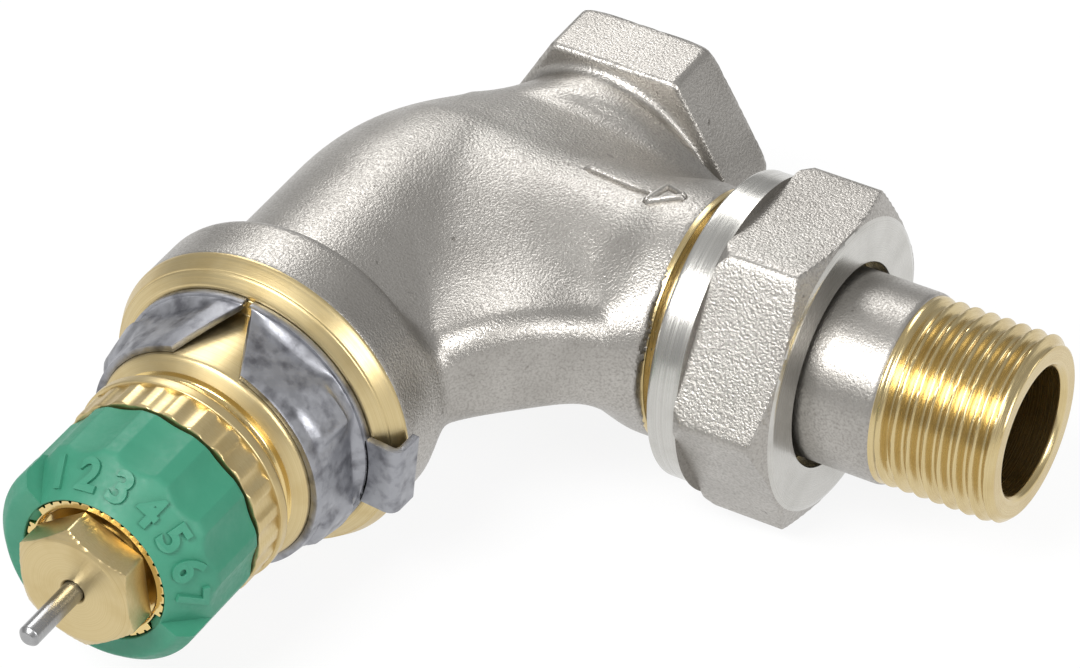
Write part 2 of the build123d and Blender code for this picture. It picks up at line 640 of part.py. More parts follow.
# Locking clip: six-sided sheet cone with a rim, a slanting gap and one bent tab
with BuildPart() as clip_core:
    with BuildSketch(HEAD_SECTION):
        with BuildLine():
            Polyline(
                (CLIP_BACK, 0),
                (CLIP_BACK, CLIP_BACK_RADIUS - CLIP_SHEET),
                (CLIP_FRONT, CLIP_FRONT_RADIUS - CLIP_SHEET),
                (CLIP_FRONT, 0),
                close=True,
            )
        make_face()
    revolve(axis=HEAD_AXIS)
    with BuildSketch(HEAD_PLANE.offset(CLIP_BACK)):
        RegularPolygon(CLIP_INNER_FLATS / 2, HEX_CORNERS, major_radius=False, rotation=CLIP_CORNER_ANGLE)
    extrude(amount=CLIP_FRONT - CLIP_BACK, mode=Mode.INTERSECT)
with BuildPart() as locking_clip:
    with BuildSketch(HEAD_SECTION):
        with BuildLine():
            Polyline(
                (CLIP_BACK, 0),
                (CLIP_BACK, CLIP_BACK_RADIUS),
                (CLIP_FRONT, CLIP_FRONT_RADIUS),
                (CLIP_FRONT, 0),
                close=True,
            )
        make_face()
    revolve(axis=HEAD_AXIS)
    with BuildSketch(HEAD_PLANE.offset(CLIP_BACK)):
        RegularPolygon(CLIP_FLATS / 2, HEX_CORNERS, major_radius=False, rotation=CLIP_CORNER_ANGLE)
    extrude(amount=CLIP_FRONT - CLIP_BACK, mode=Mode.INTERSECT)
    with BuildSketch(HEAD_PLANE.offset(CLIP_BACK)):
        Circle(CLIP_RIM_RADIUS)
        with PolarLocations((COLLAR_RADIUS + TAB_OUTER_RADIUS) / 2, 1, start_angle=TAB_ANGLE):
            Rectangle(TAB_OUTER_RADIUS - COLLAR_RADIUS, TAB_WIDTH)
    extrude(amount=CLIP_SHEET)
    with BuildSketch(HEAD_PLANE.offset(CLIP_BACK + CLIP_SHEET)):
        with PolarLocations(TAB_OUTER_RADIUS - CLIP_SHEET / 2, 1, start_angle=TAB_ANGLE):
            Rectangle(CLIP_SHEET, TAB_WIDTH)
    extrude(amount=-TAB_LIP)
    add(clip_core.part, mode=Mode.SUBTRACT)
    with BuildSketch(Plane(origin=CROSSING, x_dir=(0, -1, 0), z_dir=CLIP_GAP_DIRECTION)):
        with BuildLine():
            Polyline(
                (CLIP_BACK, CLIP_GAP_BACK / 2),
                (CLIP_FRONT, CLIP_GAP_FRONT / 2),
                (CLIP_FRONT, -CLIP_GAP_FRONT / 2),
                (CLIP_BACK, -CLIP_GAP_BACK / 2),
                close=True,
            )
        make_face()
    extrude(amount=CLIP_RIM_RADIUS + CLIP_SHEET, mode=Mode.SUBTRACT)
write(locking_clip.part, "locking_clip")

# Setting ring: a fluted cap with a cone face for the scale and two inner keys
with BuildPart() as setting_ring:
    with BuildSketch(HEAD_SECTION):
        with BuildLine():
            Polyline(
                (RING_BACK, RING_HOLLOW_RADIUS),
                (RING_BACK, RING_RADIUS),
                (RING_SHOULDER, RING_RADIUS),
                (RING_FRONT, RING_RADIUS - RING_FRONT_CHAMFER),
                (RING_FRONT, RING_BORE),
                (RING_HOLLOW_FRONT, RING_BORE),
                (RING_HOLLOW_FRONT, RING_HOLLOW_RADIUS),
                close=True,
            )
        make_face()
    revolve(axis=HEAD_AXIS)
    with BuildSketch(HEAD_PLANE.offset(RING_BACK)):
        with PolarLocations(RING_RADIUS + RING_FLUTE_RADIUS - RING_FLUTE_DEPTH, RING_FLUTES,
                            start_angle=RING_FLUTE_ANGLE):
            Circle(RING_FLUTE_RADIUS)
    extrude(amount=SCALE_BACK - RING_BACK, mode=Mode.SUBTRACT)
    with BuildSketch(SCALE_SECTION):
        with BuildLine():
            Polyline(
                (SCALE_BACK, RING_RADIUS),
                (RING_FRONT, RING_BORE + RING_FACE_LAND),
                (RING_FRONT, RING_RADIUS),
                close=True,
            )
        make_face()
    revolve(axis=HEAD_AXIS, revolution_arc=SCALE_SECTOR, mode=Mode.SUBTRACT)
    with BuildSketch(HEAD_PLANE.offset(RING_HOLLOW_FRONT)):
        with PolarLocations(RING_BORE, RING_KEYS, start_angle=RING_KEY_ANGLE):
            Rectangle(2 * RING_KEY_HEIGHT, RING_KEY_WIDTH)
    extrude(amount=SLEEVE_FRONT - RING_HOLLOW_FRONT)
write(setting_ring.part, "setting_ring")

# Setting sleeve: toothed head, flange, stem with two grooves, and drive lugs
with BuildPart() as setting_sleeve:
    with BuildSketch(HEAD_SECTION):
        with BuildLine():
            Polyline(
                (SLEEVE_STEM_BACK, SLEEVE_BORE),
                (SLEEVE_STEM_BACK, SLEEVE_STEM_RADIUS),
                (CIRCLIP_FROM, SLEEVE_STEM_RADIUS),
                (CIRCLIP_FROM, SLEEVE_STEM_RADIUS - CIRCLIP_DEPTH),
                (CIRCLIP_FROM + CIRCLIP_THICKNESS, SLEEVE_STEM_RADIUS - CIRCLIP_DEPTH),
                (CIRCLIP_FROM + CIRCLIP_THICKNESS, SLEEVE_STEM_RADIUS),
                (SLEEVE_SEAL_FROM, SLEEVE_STEM_RADIUS),
                (SLEEVE_SEAL_FROM, SLEEVE_STEM_RADIUS - SLEEVE_SEAL_DEPTH),
                (SLEEVE_SEAL_FROM + SLEEVE_SEAL_WIDTH, SLEEVE_STEM_RADIUS - SLEEVE_SEAL_DEPTH),
                (SLEEVE_SEAL_FROM + SLEEVE_SEAL_WIDTH, SLEEVE_STEM_RADIUS),
                (SLEEVE_FLANGE_BACK, SLEEVE_STEM_RADIUS),
                (SLEEVE_FLANGE_BACK, SLEEVE_FLANGE_RADIUS),
                (SLEEVE_FLANGE_FRONT, SLEEVE_FLANGE_RADIUS),
                (SLEEVE_FLANGE_FRONT, SLEEVE_RADIUS),
                (SLEEVE_FRONT, SLEEVE_RADIUS),
                (SLEEVE_FRONT, SLEEVE_RECESS_RADIUS + SLEEVE_RECESS_CHAMFER),
                (SLEEVE_FRONT - SLEEVE_RECESS_CHAMFER, SLEEVE_RECESS_RADIUS),
                (SLEEVE_RECESS_BACK, SLEEVE_RECESS_RADIUS),
                (SLEEVE_RECESS_BACK, GLAND_THREAD_RADIUS),
                (GLAND_SHANK_BACK, GLAND_THREAD_RADIUS),
                (GLAND_SHANK_BACK, SLEEVE_BORE),
                close=True,
            )
        make_face()
    revolve(axis=HEAD_AXIS)
    with BuildSketch(HEAD_PLANE.offset(SLEEVE_FRONT)):
        with PolarLocations(SLEEVE_RADIUS, SLEEVE_TEETH):
            Rectangle(2 * SLEEVE_TOOTH_DEPTH, SLEEVE_TOOTH_GAP)
    extrude(amount=-(SLEEVE_FRONT - SLEEVE_TEETH_BACK), mode=Mode.SUBTRACT)
    with BuildSketch(HEAD_PLANE.offset(SLEEVE_FRONT)):
        with PolarLocations(RING_BORE, RING_KEYS, start_angle=RING_KEY_ANGLE):
            Rectangle(2 * (RING_KEY_HEIGHT + SNAP_CLEARANCE), RING_KEY_WIDTH + 2 * SNAP_CLEARANCE)
    extrude(amount=-(SLEEVE_FRONT - SLEEVE_TEETH_BACK), mode=Mode.SUBTRACT)
    with BuildSketch(HEAD_PLANE.offset(SLEEVE_STEM_BACK)):
        with PolarLocations(DRIVE_LUG_RADIUS, DRIVE_LUGS):
            Rectangle(DRIVE_LUG_WIDTH, DRIVE_LUG_WIDTH)
    extrude(amount=-DRIVE_LUG_LENGTH)
write(setting_sleeve.part, "setting_sleeve")

# Circlip that keeps the sleeve in the housing
with BuildPart() as retaining_ring:
    with BuildSketch(HEAD_PLANE.offset(CIRCLIP_FROM + RUN_CLEARANCE)):
        Circle(CIRCLIP_RADIUS)
        Circle(SLEEVE_STEM_RADIUS - CIRCLIP_DEPTH + RUN_CLEARANCE, mode=Mode.SUBTRACT)
        with Locations((0, -CIRCLIP_RADIUS)):
            Rectangle(CIRCLIP_GAP, 2 * CIRCLIP_RADIUS, mode=Mode.SUBTRACT)
    extrude(amount=CIRCLIP_THICKNESS - 2 * RUN_CLEARANCE)
write(retaining_ring.part, "retaining_ring")

# Gland: hexagon head, threaded shank, and the room for its seal
with BuildPart() as gland_nut:
    with BuildSketch(HEAD_PLANE.offset(GLAND_HEX_BACK)):
        RegularPolygon(GLAND_FLATS / 2, HEX_CORNERS, major_radius=False, rotation=GLAND_CORNER_ANGLE)
    extrude(amount=GLAND_FRONT - GLAND_HEX_BACK)
    with BuildSketch(HEAD_SECTION):
        with BuildLine():
            Polyline(
                (GLAND_HEX_BACK, 0),
                (GLAND_HEX_BACK, GLAND_FLATS / 2 * HEX_FACTOR),
                (GLAND_FRONT - GLAND_CHAMFER, GLAND_FLATS / 2 * HEX_FACTOR),
                (GLAND_FRONT, GLAND_FLATS / 2 - GLAND_CHAMFER / 2),
                (GLAND_FRONT, 0),
                close=True,
            )
        make_face()
    revolve(axis=HEAD_AXIS, mode=Mode.INTERSECT)
    with BuildSketch(HEAD_PLANE.offset(GLAND_SHANK_BACK)):
        Circle(GLAND_SHANK_RADIUS)
    extrude(amount=GLAND_HEX_BACK - GLAND_SHANK_BACK)
    with BuildSketch(HEAD_PLANE.offset(GLAND_SHANK_BACK)):
        Circle(GLAND_SEAL_RADIUS)
    extrude(amount=GLAND_SEAL_DEPTH, mode=Mode.SUBTRACT)
    with BuildSketch(HEAD_PLANE.offset(GLAND_SHANK_BACK)):
        Circle(PIN_BORE)
    extrude(amount=GLAND_FRONT - GLAND_SHANK_BACK, mode=Mode.SUBTRACT)
write(gland_nut.part, "gland_nut")

# Pin with a chamfered tip
write(turned(HEAD_SECTION, HEAD_AXIS, [
    (PIN_BACK, 0),
    (PIN_BACK, PIN_RADIUS),
    (PIN_FRONT - PIN_TIP_CHAMFER, PIN_RADIUS),
    (PIN_FRONT, PIN_RADIUS - PIN_TIP_CHAMFER),
    (PIN_FRONT, 0),
]), "pressure_pin")

# Spindle with its spring flange
write(turned(HEAD_SECTION, HEAD_AXIS, [
    (HOLDER_FRONT, 0),
    (HOLDER_FRONT, SPINDLE_RADIUS),
    (SPRING_TO, SPINDLE_RADIUS),
    (SPRING_TO, SPINDLE_FLANGE_RADIUS),
    (SPINDLE_FLANGE_FRONT, SPINDLE_FLANGE_RADIUS),
    (SPINDLE_FLANGE_FRONT, SPINDLE_RADIUS),
    (PIN_BACK, SPINDLE_RADIUS),
    (PIN_BACK, 0),
]), "spindle")

# Cup that holds the rubber disc
write(turned(HEAD_SECTION, HEAD_AXIS, [
    (HOLDER_BACK + DISC_LENGTH, 0),
    (HOLDER_BACK + DISC_LENGTH, DISC_RADIUS),
    (HOLDER_BACK, DISC_RADIUS),
    (HOLDER_BACK, HOLDER_RADIUS),
    (HOLDER_FRONT, HOLDER_RADIUS),
    (HOLDER_FRONT, 0),
]), "disc_holder")
write(turned(HEAD_SECTION, HEAD_AXIS, [
    (HOLDER_BACK - DISC_PROUD, 0),
    (HOLDER_BACK - DISC_PROUD, DISC_RADIUS - SEAL_CLEARANCE),
    (HOLDER_BACK + DISC_LENGTH, DISC_RADIUS - SEAL_CLEARANCE),
    (HOLDER_BACK + DISC_LENGTH, 0),
]), "valve_disc")

# Throttle cylinder: a cup with one flow port, and slots for the drive lugs
with BuildPart() as throttle_cylinder:
    with BuildSketch(HEAD_SECTION):
        with BuildLine():
            Polyline(
                (THROTTLE_BACK, THROTTLE_BORE),
                (THROTTLE_BACK, THROTTLE_RADIUS),
                (THROTTLE_FRONT, THROTTLE_RADIUS),
                (THROTTLE_FRONT, SPINDLE_BORE),
                (THROTTLE_FRONT - THROTTLE_TOP, SPINDLE_BORE),
                (THROTTLE_FRONT - THROTTLE_TOP, THROTTLE_BORE),
                close=True,
            )
        make_face()
    revolve(axis=HEAD_AXIS)
    with BuildSketch(HEAD_PLANE.offset(THROTTLE_FRONT)):
        with PolarLocations(DRIVE_LUG_RADIUS, DRIVE_LUGS):
            Rectangle(DRIVE_LUG_WIDTH + 2 * SNAP_CLEARANCE, DRIVE_LUG_WIDTH + 2 * SNAP_CLEARANCE)
    extrude(amount=-THROTTLE_TOP, mode=Mode.SUBTRACT)
    with BuildSketch(HEAD_PLANE.offset(THROTTLE_PORT_FROM)):
        with Locations((THROTTLE_RADIUS, 0)):
            Rectangle(THROTTLE_RADIUS, THROTTLE_PORT_WIDTH)
    extrude(amount=THROTTLE_PORT_LENGTH, mode=Mode.SUBTRACT)
write(throttle_cylinder.part, "throttle_cylinder")
write(washer(GUIDE_FROM, SPRING_FROM, SPINDLE_BORE, THROTTLE_BORE - RUN_CLEARANCE), "spindle_guide")

# Cage under the housing, with flow windows and a spigot inside the nose
with BuildPart() as cartridge_cage:
    with BuildSketch(HEAD_SECTION):
        with BuildLine():
            Polyline(
                (CAGE_BACK, CAGE_BORE),
                (CAGE_BACK, CAGE_RADIUS),
                (HOUSING_NOSE_BACK, CAGE_RADIUS),
                (HOUSING_NOSE_BACK, CAGE_SPIGOT_RADIUS),
                (HOUSING_NOSE_BACK + CAGE_SPIGOT_LENGTH, CAGE_SPIGOT_RADIUS),
                (HOUSING_NOSE_BACK + CAGE_SPIGOT_LENGTH, CAGE_BORE),
                close=True,
            )
        make_face()
    revolve(axis=HEAD_AXIS)
    with BuildSketch(HEAD_PLANE.offset(CAGE_WINDOW_FROM)):
        with PolarLocations(CAGE_RADIUS, CAGE_WINDOWS):
            Rectangle(CAGE_RADIUS, CAGE_WINDOW_WIDTH)
    extrude(amount=CAGE_WINDOW_LENGTH, mode=Mode.SUBTRACT)
write(cartridge_cage.part, "cartridge_cage")

# Seat plate with a raised lip
write(turned(HEAD_SECTION, HEAD_AXIS, [
    (SEAT_PLATE_FROM, SEAT_HOLE_RADIUS),
    (SEAT_PLATE_FROM, CAGE_BORE - RUN_CLEARANCE),
    (SEAT_PLATE_FRONT, CAGE_BORE - RUN_CLEARANCE),
    (SEAT_PLATE_FRONT, SEAT_LIP_RADIUS),
    (SEAT_PLATE_FRONT + SEAT_LIP, SEAT_LIP_RADIUS),
    (SEAT_PLATE_FRONT + SEAT_LIP, SEAT_HOLE_RADIUS),
]), "seat_plate")

# Pressure regulator: housing cup, diaphragm, piston and spring
with BuildPart() as regulator_housing:
    with BuildSketch(HEAD_SECTION):
        with BuildLine():
            Polyline(
                (REGULATOR_SPIGOT_BACK, REGULATOR_INLET),
                (REGULATOR_SPIGOT_BACK, REGULATOR_SPIGOT_RADIUS),
                (REGULATOR_SEAL_FROM, REGULATOR_SPIGOT_RADIUS),
                (REGULATOR_SEAL_FROM, REGULATOR_SPIGOT_RADIUS - REGULATOR_SEAL_DEPTH),
                (REGULATOR_SEAL_FROM + REGULATOR_SEAL_WIDTH, REGULATOR_SPIGOT_RADIUS - REGULATOR_SEAL_DEPTH),
                (REGULATOR_SEAL_FROM + REGULATOR_SEAL_WIDTH, REGULATOR_SPIGOT_RADIUS),
                (REGULATOR_FLOOR_BACK, REGULATOR_SPIGOT_RADIUS),
                (REGULATOR_FLOOR_BACK, REGULATOR_RADIUS),
                (DIAPHRAGM_BACK, REGULATOR_RADIUS),
                (DIAPHRAGM_BACK, REGULATOR_BORE),
                (REGULATOR_FLOOR_FRONT, REGULATOR_BORE),
                (REGULATOR_FLOOR_FRONT, REGULATOR_INLET),
                close=True,
            )
        make_face()
    revolve(axis=HEAD_AXIS)
    with BuildSketch(HEAD_PLANE.offset(REGULATOR_PORT_FROM)):
        with PolarLocations(REGULATOR_RADIUS, REGULATOR_PORTS):
            Rectangle(REGULATOR_RADIUS, REGULATOR_PORT_WIDTH)
    extrude(amount=REGULATOR_PORT_LENGTH, mode=Mode.SUBTRACT)
write(regulator_housing.part, "regulator_housing")
write(washer(DIAPHRAGM_BACK, DIAPHRAGM_FRONT, DIAPHRAGM_HOLE, REGULATOR_RADIUS), "diaphragm")
write(turned(HEAD_SECTION, HEAD_AXIS, [
    (PISTON_STEM_BACK, 0),
    (PISTON_STEM_BACK, PISTON_STEM_RADIUS),
    (PISTON_FLANGE_BACK, PISTON_STEM_RADIUS),
    (PISTON_FLANGE_BACK, PISTON_RADIUS),
    (PISTON_FRONT, PISTON_RADIUS),
    (PISTON_FRONT, 0),
]), "regulator_piston")

# Springs
write(coil(SPRING_FROM, SPRING_TO, SPRING_COIL_RADIUS, SPRING_WIRE_RADIUS, SPRING_TURNS), "return_spring")
write(coil(REGULATOR_FLOOR_FRONT, PISTON_FLANGE_BACK, CONTROL_COIL_RADIUS, CONTROL_WIRE_RADIUS,
           CONTROL_TURNS), "control_spring")

# Rubber rings and the gland's washer
write(rubber_ring(HOUSING_SEAL_FROM, HOUSING_SEAL_WIDTH, HOUSING_NOSE_RADIUS - HOUSING_SEAL_DEPTH, SEAL_BORE),
      "housing_o_ring")
write(rubber_ring(SLEEVE_SEAL_FROM, SLEEVE_SEAL_WIDTH, SLEEVE_STEM_RADIUS - SLEEVE_SEAL_DEPTH,
                  SLEEVE_STEM_BORE), "sleeve_o_ring")
write(rubber_ring(REGULATOR_SEAL_FROM, REGULATOR_SEAL_WIDTH, REGULATOR_SPIGOT_RADIUS - REGULATOR_SEAL_DEPTH,
                  PARTITION_BORE), "regulator_o_ring")
write(rubber_ring(GLAND_SHANK_BACK + GLAND_WASHER, GLAND_SEAL_DEPTH - GLAND_WASHER, PIN_RADIUS,
                  GLAND_SEAL_RADIUS), "gland_o_ring")
write(washer(GLAND_SHANK_BACK, GLAND_SHANK_BACK + GLAND_WASHER, PIN_BORE, GLAND_SEAL_RADIUS - RUN_CLEARANCE),
      "gland_washer")
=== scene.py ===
"""Angled radiator valve with a built-in pressure regulator: its looks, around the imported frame.

Lengths in the classes below are millimetres, measured as the valve is made: "along" is the distance
from the crossing of the head and union axes, and angles go round the axis in question.
"""
from __future__ import annotations

import json
import logging
from dataclasses import dataclass
from enum import Enum
from typing import Callable, Sequence

import bpy
import numpy as np
from mathutils import Matrix, Vector

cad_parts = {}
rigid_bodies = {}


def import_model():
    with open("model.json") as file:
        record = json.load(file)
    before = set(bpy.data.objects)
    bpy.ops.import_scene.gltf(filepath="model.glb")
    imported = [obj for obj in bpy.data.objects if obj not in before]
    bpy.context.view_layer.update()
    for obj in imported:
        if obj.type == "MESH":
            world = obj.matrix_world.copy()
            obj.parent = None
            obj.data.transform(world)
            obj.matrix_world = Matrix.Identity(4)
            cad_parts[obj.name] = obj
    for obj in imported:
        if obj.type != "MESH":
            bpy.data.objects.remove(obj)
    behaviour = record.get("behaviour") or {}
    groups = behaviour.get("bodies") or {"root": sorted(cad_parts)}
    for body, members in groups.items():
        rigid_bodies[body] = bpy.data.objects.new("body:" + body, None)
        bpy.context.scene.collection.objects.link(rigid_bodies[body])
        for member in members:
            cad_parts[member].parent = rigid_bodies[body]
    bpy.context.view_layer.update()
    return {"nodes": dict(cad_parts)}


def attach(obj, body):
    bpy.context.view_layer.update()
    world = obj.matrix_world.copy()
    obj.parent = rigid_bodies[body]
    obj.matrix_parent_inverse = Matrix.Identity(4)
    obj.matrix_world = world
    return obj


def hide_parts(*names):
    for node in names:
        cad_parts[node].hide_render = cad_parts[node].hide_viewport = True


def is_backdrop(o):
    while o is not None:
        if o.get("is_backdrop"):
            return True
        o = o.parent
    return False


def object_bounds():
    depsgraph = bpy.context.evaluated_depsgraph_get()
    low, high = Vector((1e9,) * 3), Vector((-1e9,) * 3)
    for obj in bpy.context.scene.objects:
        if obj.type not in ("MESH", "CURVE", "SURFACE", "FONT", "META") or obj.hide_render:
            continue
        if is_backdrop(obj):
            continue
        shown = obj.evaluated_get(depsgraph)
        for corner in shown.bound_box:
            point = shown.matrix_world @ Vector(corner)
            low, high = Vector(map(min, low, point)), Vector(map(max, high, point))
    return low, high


LOG = logging.getLogger("valve")
MM = 0.001
TURN = 2.0 * np.pi

Array = np.ndarray
Shape = Callable[[Array, Array, Array], Array]
Colour = tuple[float, float, float]


class Body(Enum):
    """Bodies of the frame that pieces ride on."""

    CASTING = "body"
    SETTING = "setting"
    RING = "ring"
    PIN = "pin"
    TAIL = "tail"
    NUT = "nut"


class Slot(Enum):
    """Material slots of the record, named when new pieces are dressed."""

    NICKEL = "nickel"
    BRASS = "brass"
    CLIP = "clip_steel"
    PIN = "pin_steel"
    GREEN = "green_plastic"


@dataclass(frozen=True)
class Spindle:
    """A straight axis of the valve, for placing turned shapes.

    The crossing is the axis' zero point, and side, rise and forward are unit vectors.
    """

    crossing: tuple[float, float, float]
    side: tuple[float, float, float]
    rise: tuple[float, float, float]
    forward: tuple[float, float, float]

    def place(self, along: Array, radius: Array, angle: Array) -> Array:
        """Points at a distance along the axis, off it by a radius, round it by an angle.

        Args:
            along: Distance along the axis in millimetres.
            radius: Distance from the axis in millimetres.
            angle: Angle in radians from side towards rise.

        Returns:
            Points in metres in the frame's axes, one row each.
        """
        across = np.cos(angle)[..., None] * np.array(self.side)
        up = np.sin(angle)[..., None] * np.array(self.rise)
        forward = along[..., None] * np.array(self.forward)
        points = np.array(self.crossing) + forward + radius[..., None] * (across + up)
        return points.reshape(-1, 3) * MM


CROSSING = (-11.6, -27.0, 0.0)
HEAD = Spindle(CROSSING, (1, 0, 0), (0, 0, 1), (0, -1, 0))
UNION = Spindle(CROSSING, (0, -1, 0), (0, 0, 1), (1, 0, 0))


def grid_faces(rows: int, columns: int, close_rows: bool, close_columns: bool) -> Array:
    """Quads of a grid of points numbered row by row.

    Args:
        rows: Number of rows.
        columns: Number of points in a row.
        close_rows: Whether the last row joins the first.
        close_columns: Whether the last point of a row joins its first.

    Returns:
        One row of four indices for each quad.
    """
    down = np.arange(rows if close_rows else rows - 1)[:, None]
    over = np.arange(columns if close_columns else columns - 1)[None, :]
    next_down = (down + 1) % rows
    next_over = (over + 1) % columns
    corners = (
        down * columns + over,
        down * columns + next_over,
        next_down * columns + next_over,
        next_down * columns + over,
    )
    return np.stack(np.broadcast_arrays(*corners), -1).reshape(-1, 4)


def softened(outline: Sequence[tuple[float, float, float]], closed: bool = True, steps: int = 5) -> Array:
    """An outline whose corners are rounded.

    Each corner is a quadratic curve that leaves the edge before it at the corner's round and meets the
    edge after it as far on, so (1-u)^2 P + 2u(1-u) C + u^2 N for u from 0 to 1.

    Args:
        outline: Corners as (along, radius, round).
        closed: Whether the last corner joins the first.
        steps: Points for each corner.

    Returns:
        Points as (along, radius), one row each.
    """
    table = np.array(outline, float)
    corner, reach = table[:, :2], table[:, 2:3]
    before = np.roll(corner, 1, 0) - corner
    after = np.roll(corner, -1, 0) - corner
    back = np.linalg.norm(before, axis=1, keepdims=True)
    ahead = np.linalg.norm(after, axis=1, keepdims=True)
    first = corner + before / np.maximum(back, 1e-9) * np.minimum(reach, 0.49 * back)
    last = corner + after / np.maximum(ahead, 1e-9) * np.minimum(reach, 0.49 * ahead)
    share = np.linspace(0.0, 1.0, steps)[None, :, None]
    ends = (1 - share) ** 2 * first[:, None] + share**2 * last[:, None]
    curve = (ends + 2 * share * (1 - share) * corner[:, None]).reshape(-1, 2)
    if not closed:
        curve = np.concatenate([corner[:1], curve[steps:-steps], corner[-1:]])
    keep = np.r_[True, np.linalg.norm(np.diff(curve, axis=0), axis=1) > 1e-4]
    return curve[keep]


def resampled(line: Array, step: float, closed: bool = True) -> Array:
    """The same line with points added, so that none is further than a step from the next.

    Args:
        line: Points as (along, radius).
        step: Longest distance between neighbours.
        closed: Whether the last point joins the first.

    Returns:
        Points as (along, radius).
    """
    ends = np.roll(line, -1, 0) if closed else np.r_[line[1:], line[-1:]]
    counts = np.maximum(np.ceil(np.linalg.norm(ends - line, axis=1) / step).astype(int), 1)
    start = np.repeat(np.arange(len(line)), counts)
    count_before = np.repeat(np.cumsum(counts) - counts, counts)
    share = (np.arange(counts.sum()) - count_before) / np.repeat(counts, counts)
    return line[start] + (ends - line)[start] * share[:, None]


def lathe(
    axis: Spindle, outline: Array, turns: int, shape: Shape | None = None, closed: bool = True
) -> tuple[Array, Array]:
    """A surface turned about an axis: the outline carried round it.

    A shape may change the radius by place: radius = shape(along, radius, angle).

    Args:
        axis: The axis to turn about.
        outline: Points as (along, radius).
        turns: Points round the axis.
        shape: Radius as a function of along, radius and angle.
        closed: Whether the outline is a loop.

    Returns:
        Points in metres and quads.
    """
    angle = np.broadcast_to(np.arange(turns) * TURN / turns, (len(outline), turns))
    along = np.broadcast_to(outline[:, :1], angle.shape)
    radius = np.broadcast_to(outline[:, 1:], angle.shape)
    if shape is not None:
        radius = shape(along, radius, angle)
    return axis.place(along, radius, angle), grid_faces(len(outline), turns, closed, True)


def hexagon_radius(angle: Array, flats: float, corner: float, sharpness: float = 70.0) -> Array:
    """Radius of a six-sided outline with slightly rounded corners.

    The six flats' distances are joined by a high power mean: (sum of (cos(angle - flat) / half)^n)^(-1/n).

    Args:
        angle: Angles in radians.
        flats: Distance across the flats.
        corner: Angle of one corner in degrees.
        sharpness: The power n.

    Returns:
        Radius at each angle.
    """
    middles = np.radians(corner + 30.0 + 60.0 * np.arange(6))
    share = np.maximum(np.cos(angle[..., None] - middles), 0.0) / (flats / 2)
    return (share**sharpness).sum(-1) ** (-1.0 / sharpness)


def scallop_radius(
    angle: Array, crest: float, count: int, cutter: float, depth: float, first: float
) -> Array:
    """Radius of a round bar with round flutes, each cut by a cylinder parallel to it.

    Seen from the axis, the near side of a cutter at distance c is c cos(a) - sqrt(q^2 - c^2 sin(a)^2).

    Args:
        angle: Angles in radians.
        crest: Radius between the flutes.
        count: Number of flutes.
        cutter: Radius q of the cutter.
        depth: Depth of a flute.
        first: Angle of one flute in degrees.

    Returns:
        Radius at each angle.
    """
    centre = crest + cutter - depth
    pitch = TURN / count
    off = (angle - np.radians(first) + pitch / 2) % pitch - pitch / 2
    room = np.maximum(cutter**2 - (centre * np.sin(off)) ** 2, 0.0)
    return np.where(room > 0, np.minimum(centre * np.cos(off) - np.sqrt(room), crest), crest)


def build(name: str, points: Array, faces: Array, sharp: float = 35.0) -> bpy.types.Object:
    """A mesh object at the origin, smooth but for its sharp edges.

    Args:
        name: The piece's name.
        points: Points in metres.
        faces: Quads, one row each.
        sharp: Edges that turn by more than this angle in degrees stay sharp.

    Returns:
        The new object, linked to the scene.
    """
    mesh = bpy.data.meshes.new(name)
    mesh.from_pydata(points.tolist(), [], faces.tolist())
    mesh.validate()
    mesh.shade_smooth()
    mesh.set_sharp_from_angle(angle=np.radians(sharp))
    mesh.update()
    piece = bpy.data.objects.new(name, mesh)
    bpy.context.scene.collection.objects.link(piece)
    return piece


def joined(*parts: tuple[Array, Array]) -> tuple[Array, Array]:
    """Several surfaces as one.

    Args:
        parts: Points and quads of each surface.

    Returns:
        All points and all quads, renumbered.
    """
    sizes = np.cumsum([0] + [len(points) for points, _ in parts])
    points = np.concatenate([points for points, _ in parts])
    faces = np.concatenate([faces + start for (_, faces), start in zip(parts, sizes)])
    return points, faces


def outward(parts: tuple[Array, Array]) -> tuple[Array, Array]:
    """The surface with its quads turned so that its closed volume is positive.

    The volume is the sum over triangles of p . (q x r) / 6.

    Args:
        parts: Points and quads.

    Returns:
        The same points, and the quads in the order that faces outwards.
    """
    points, faces = parts
    p, q, r, t = (points[faces[:, i]] for i in range(4))
    volume = np.einsum("ij,ij->i", p, np.cross(q, r)).sum() + np.einsum("ij,ij->i", p, np.cross(r, t)).sum()
    return points, faces if volume > 0 else faces[:, ::-1]


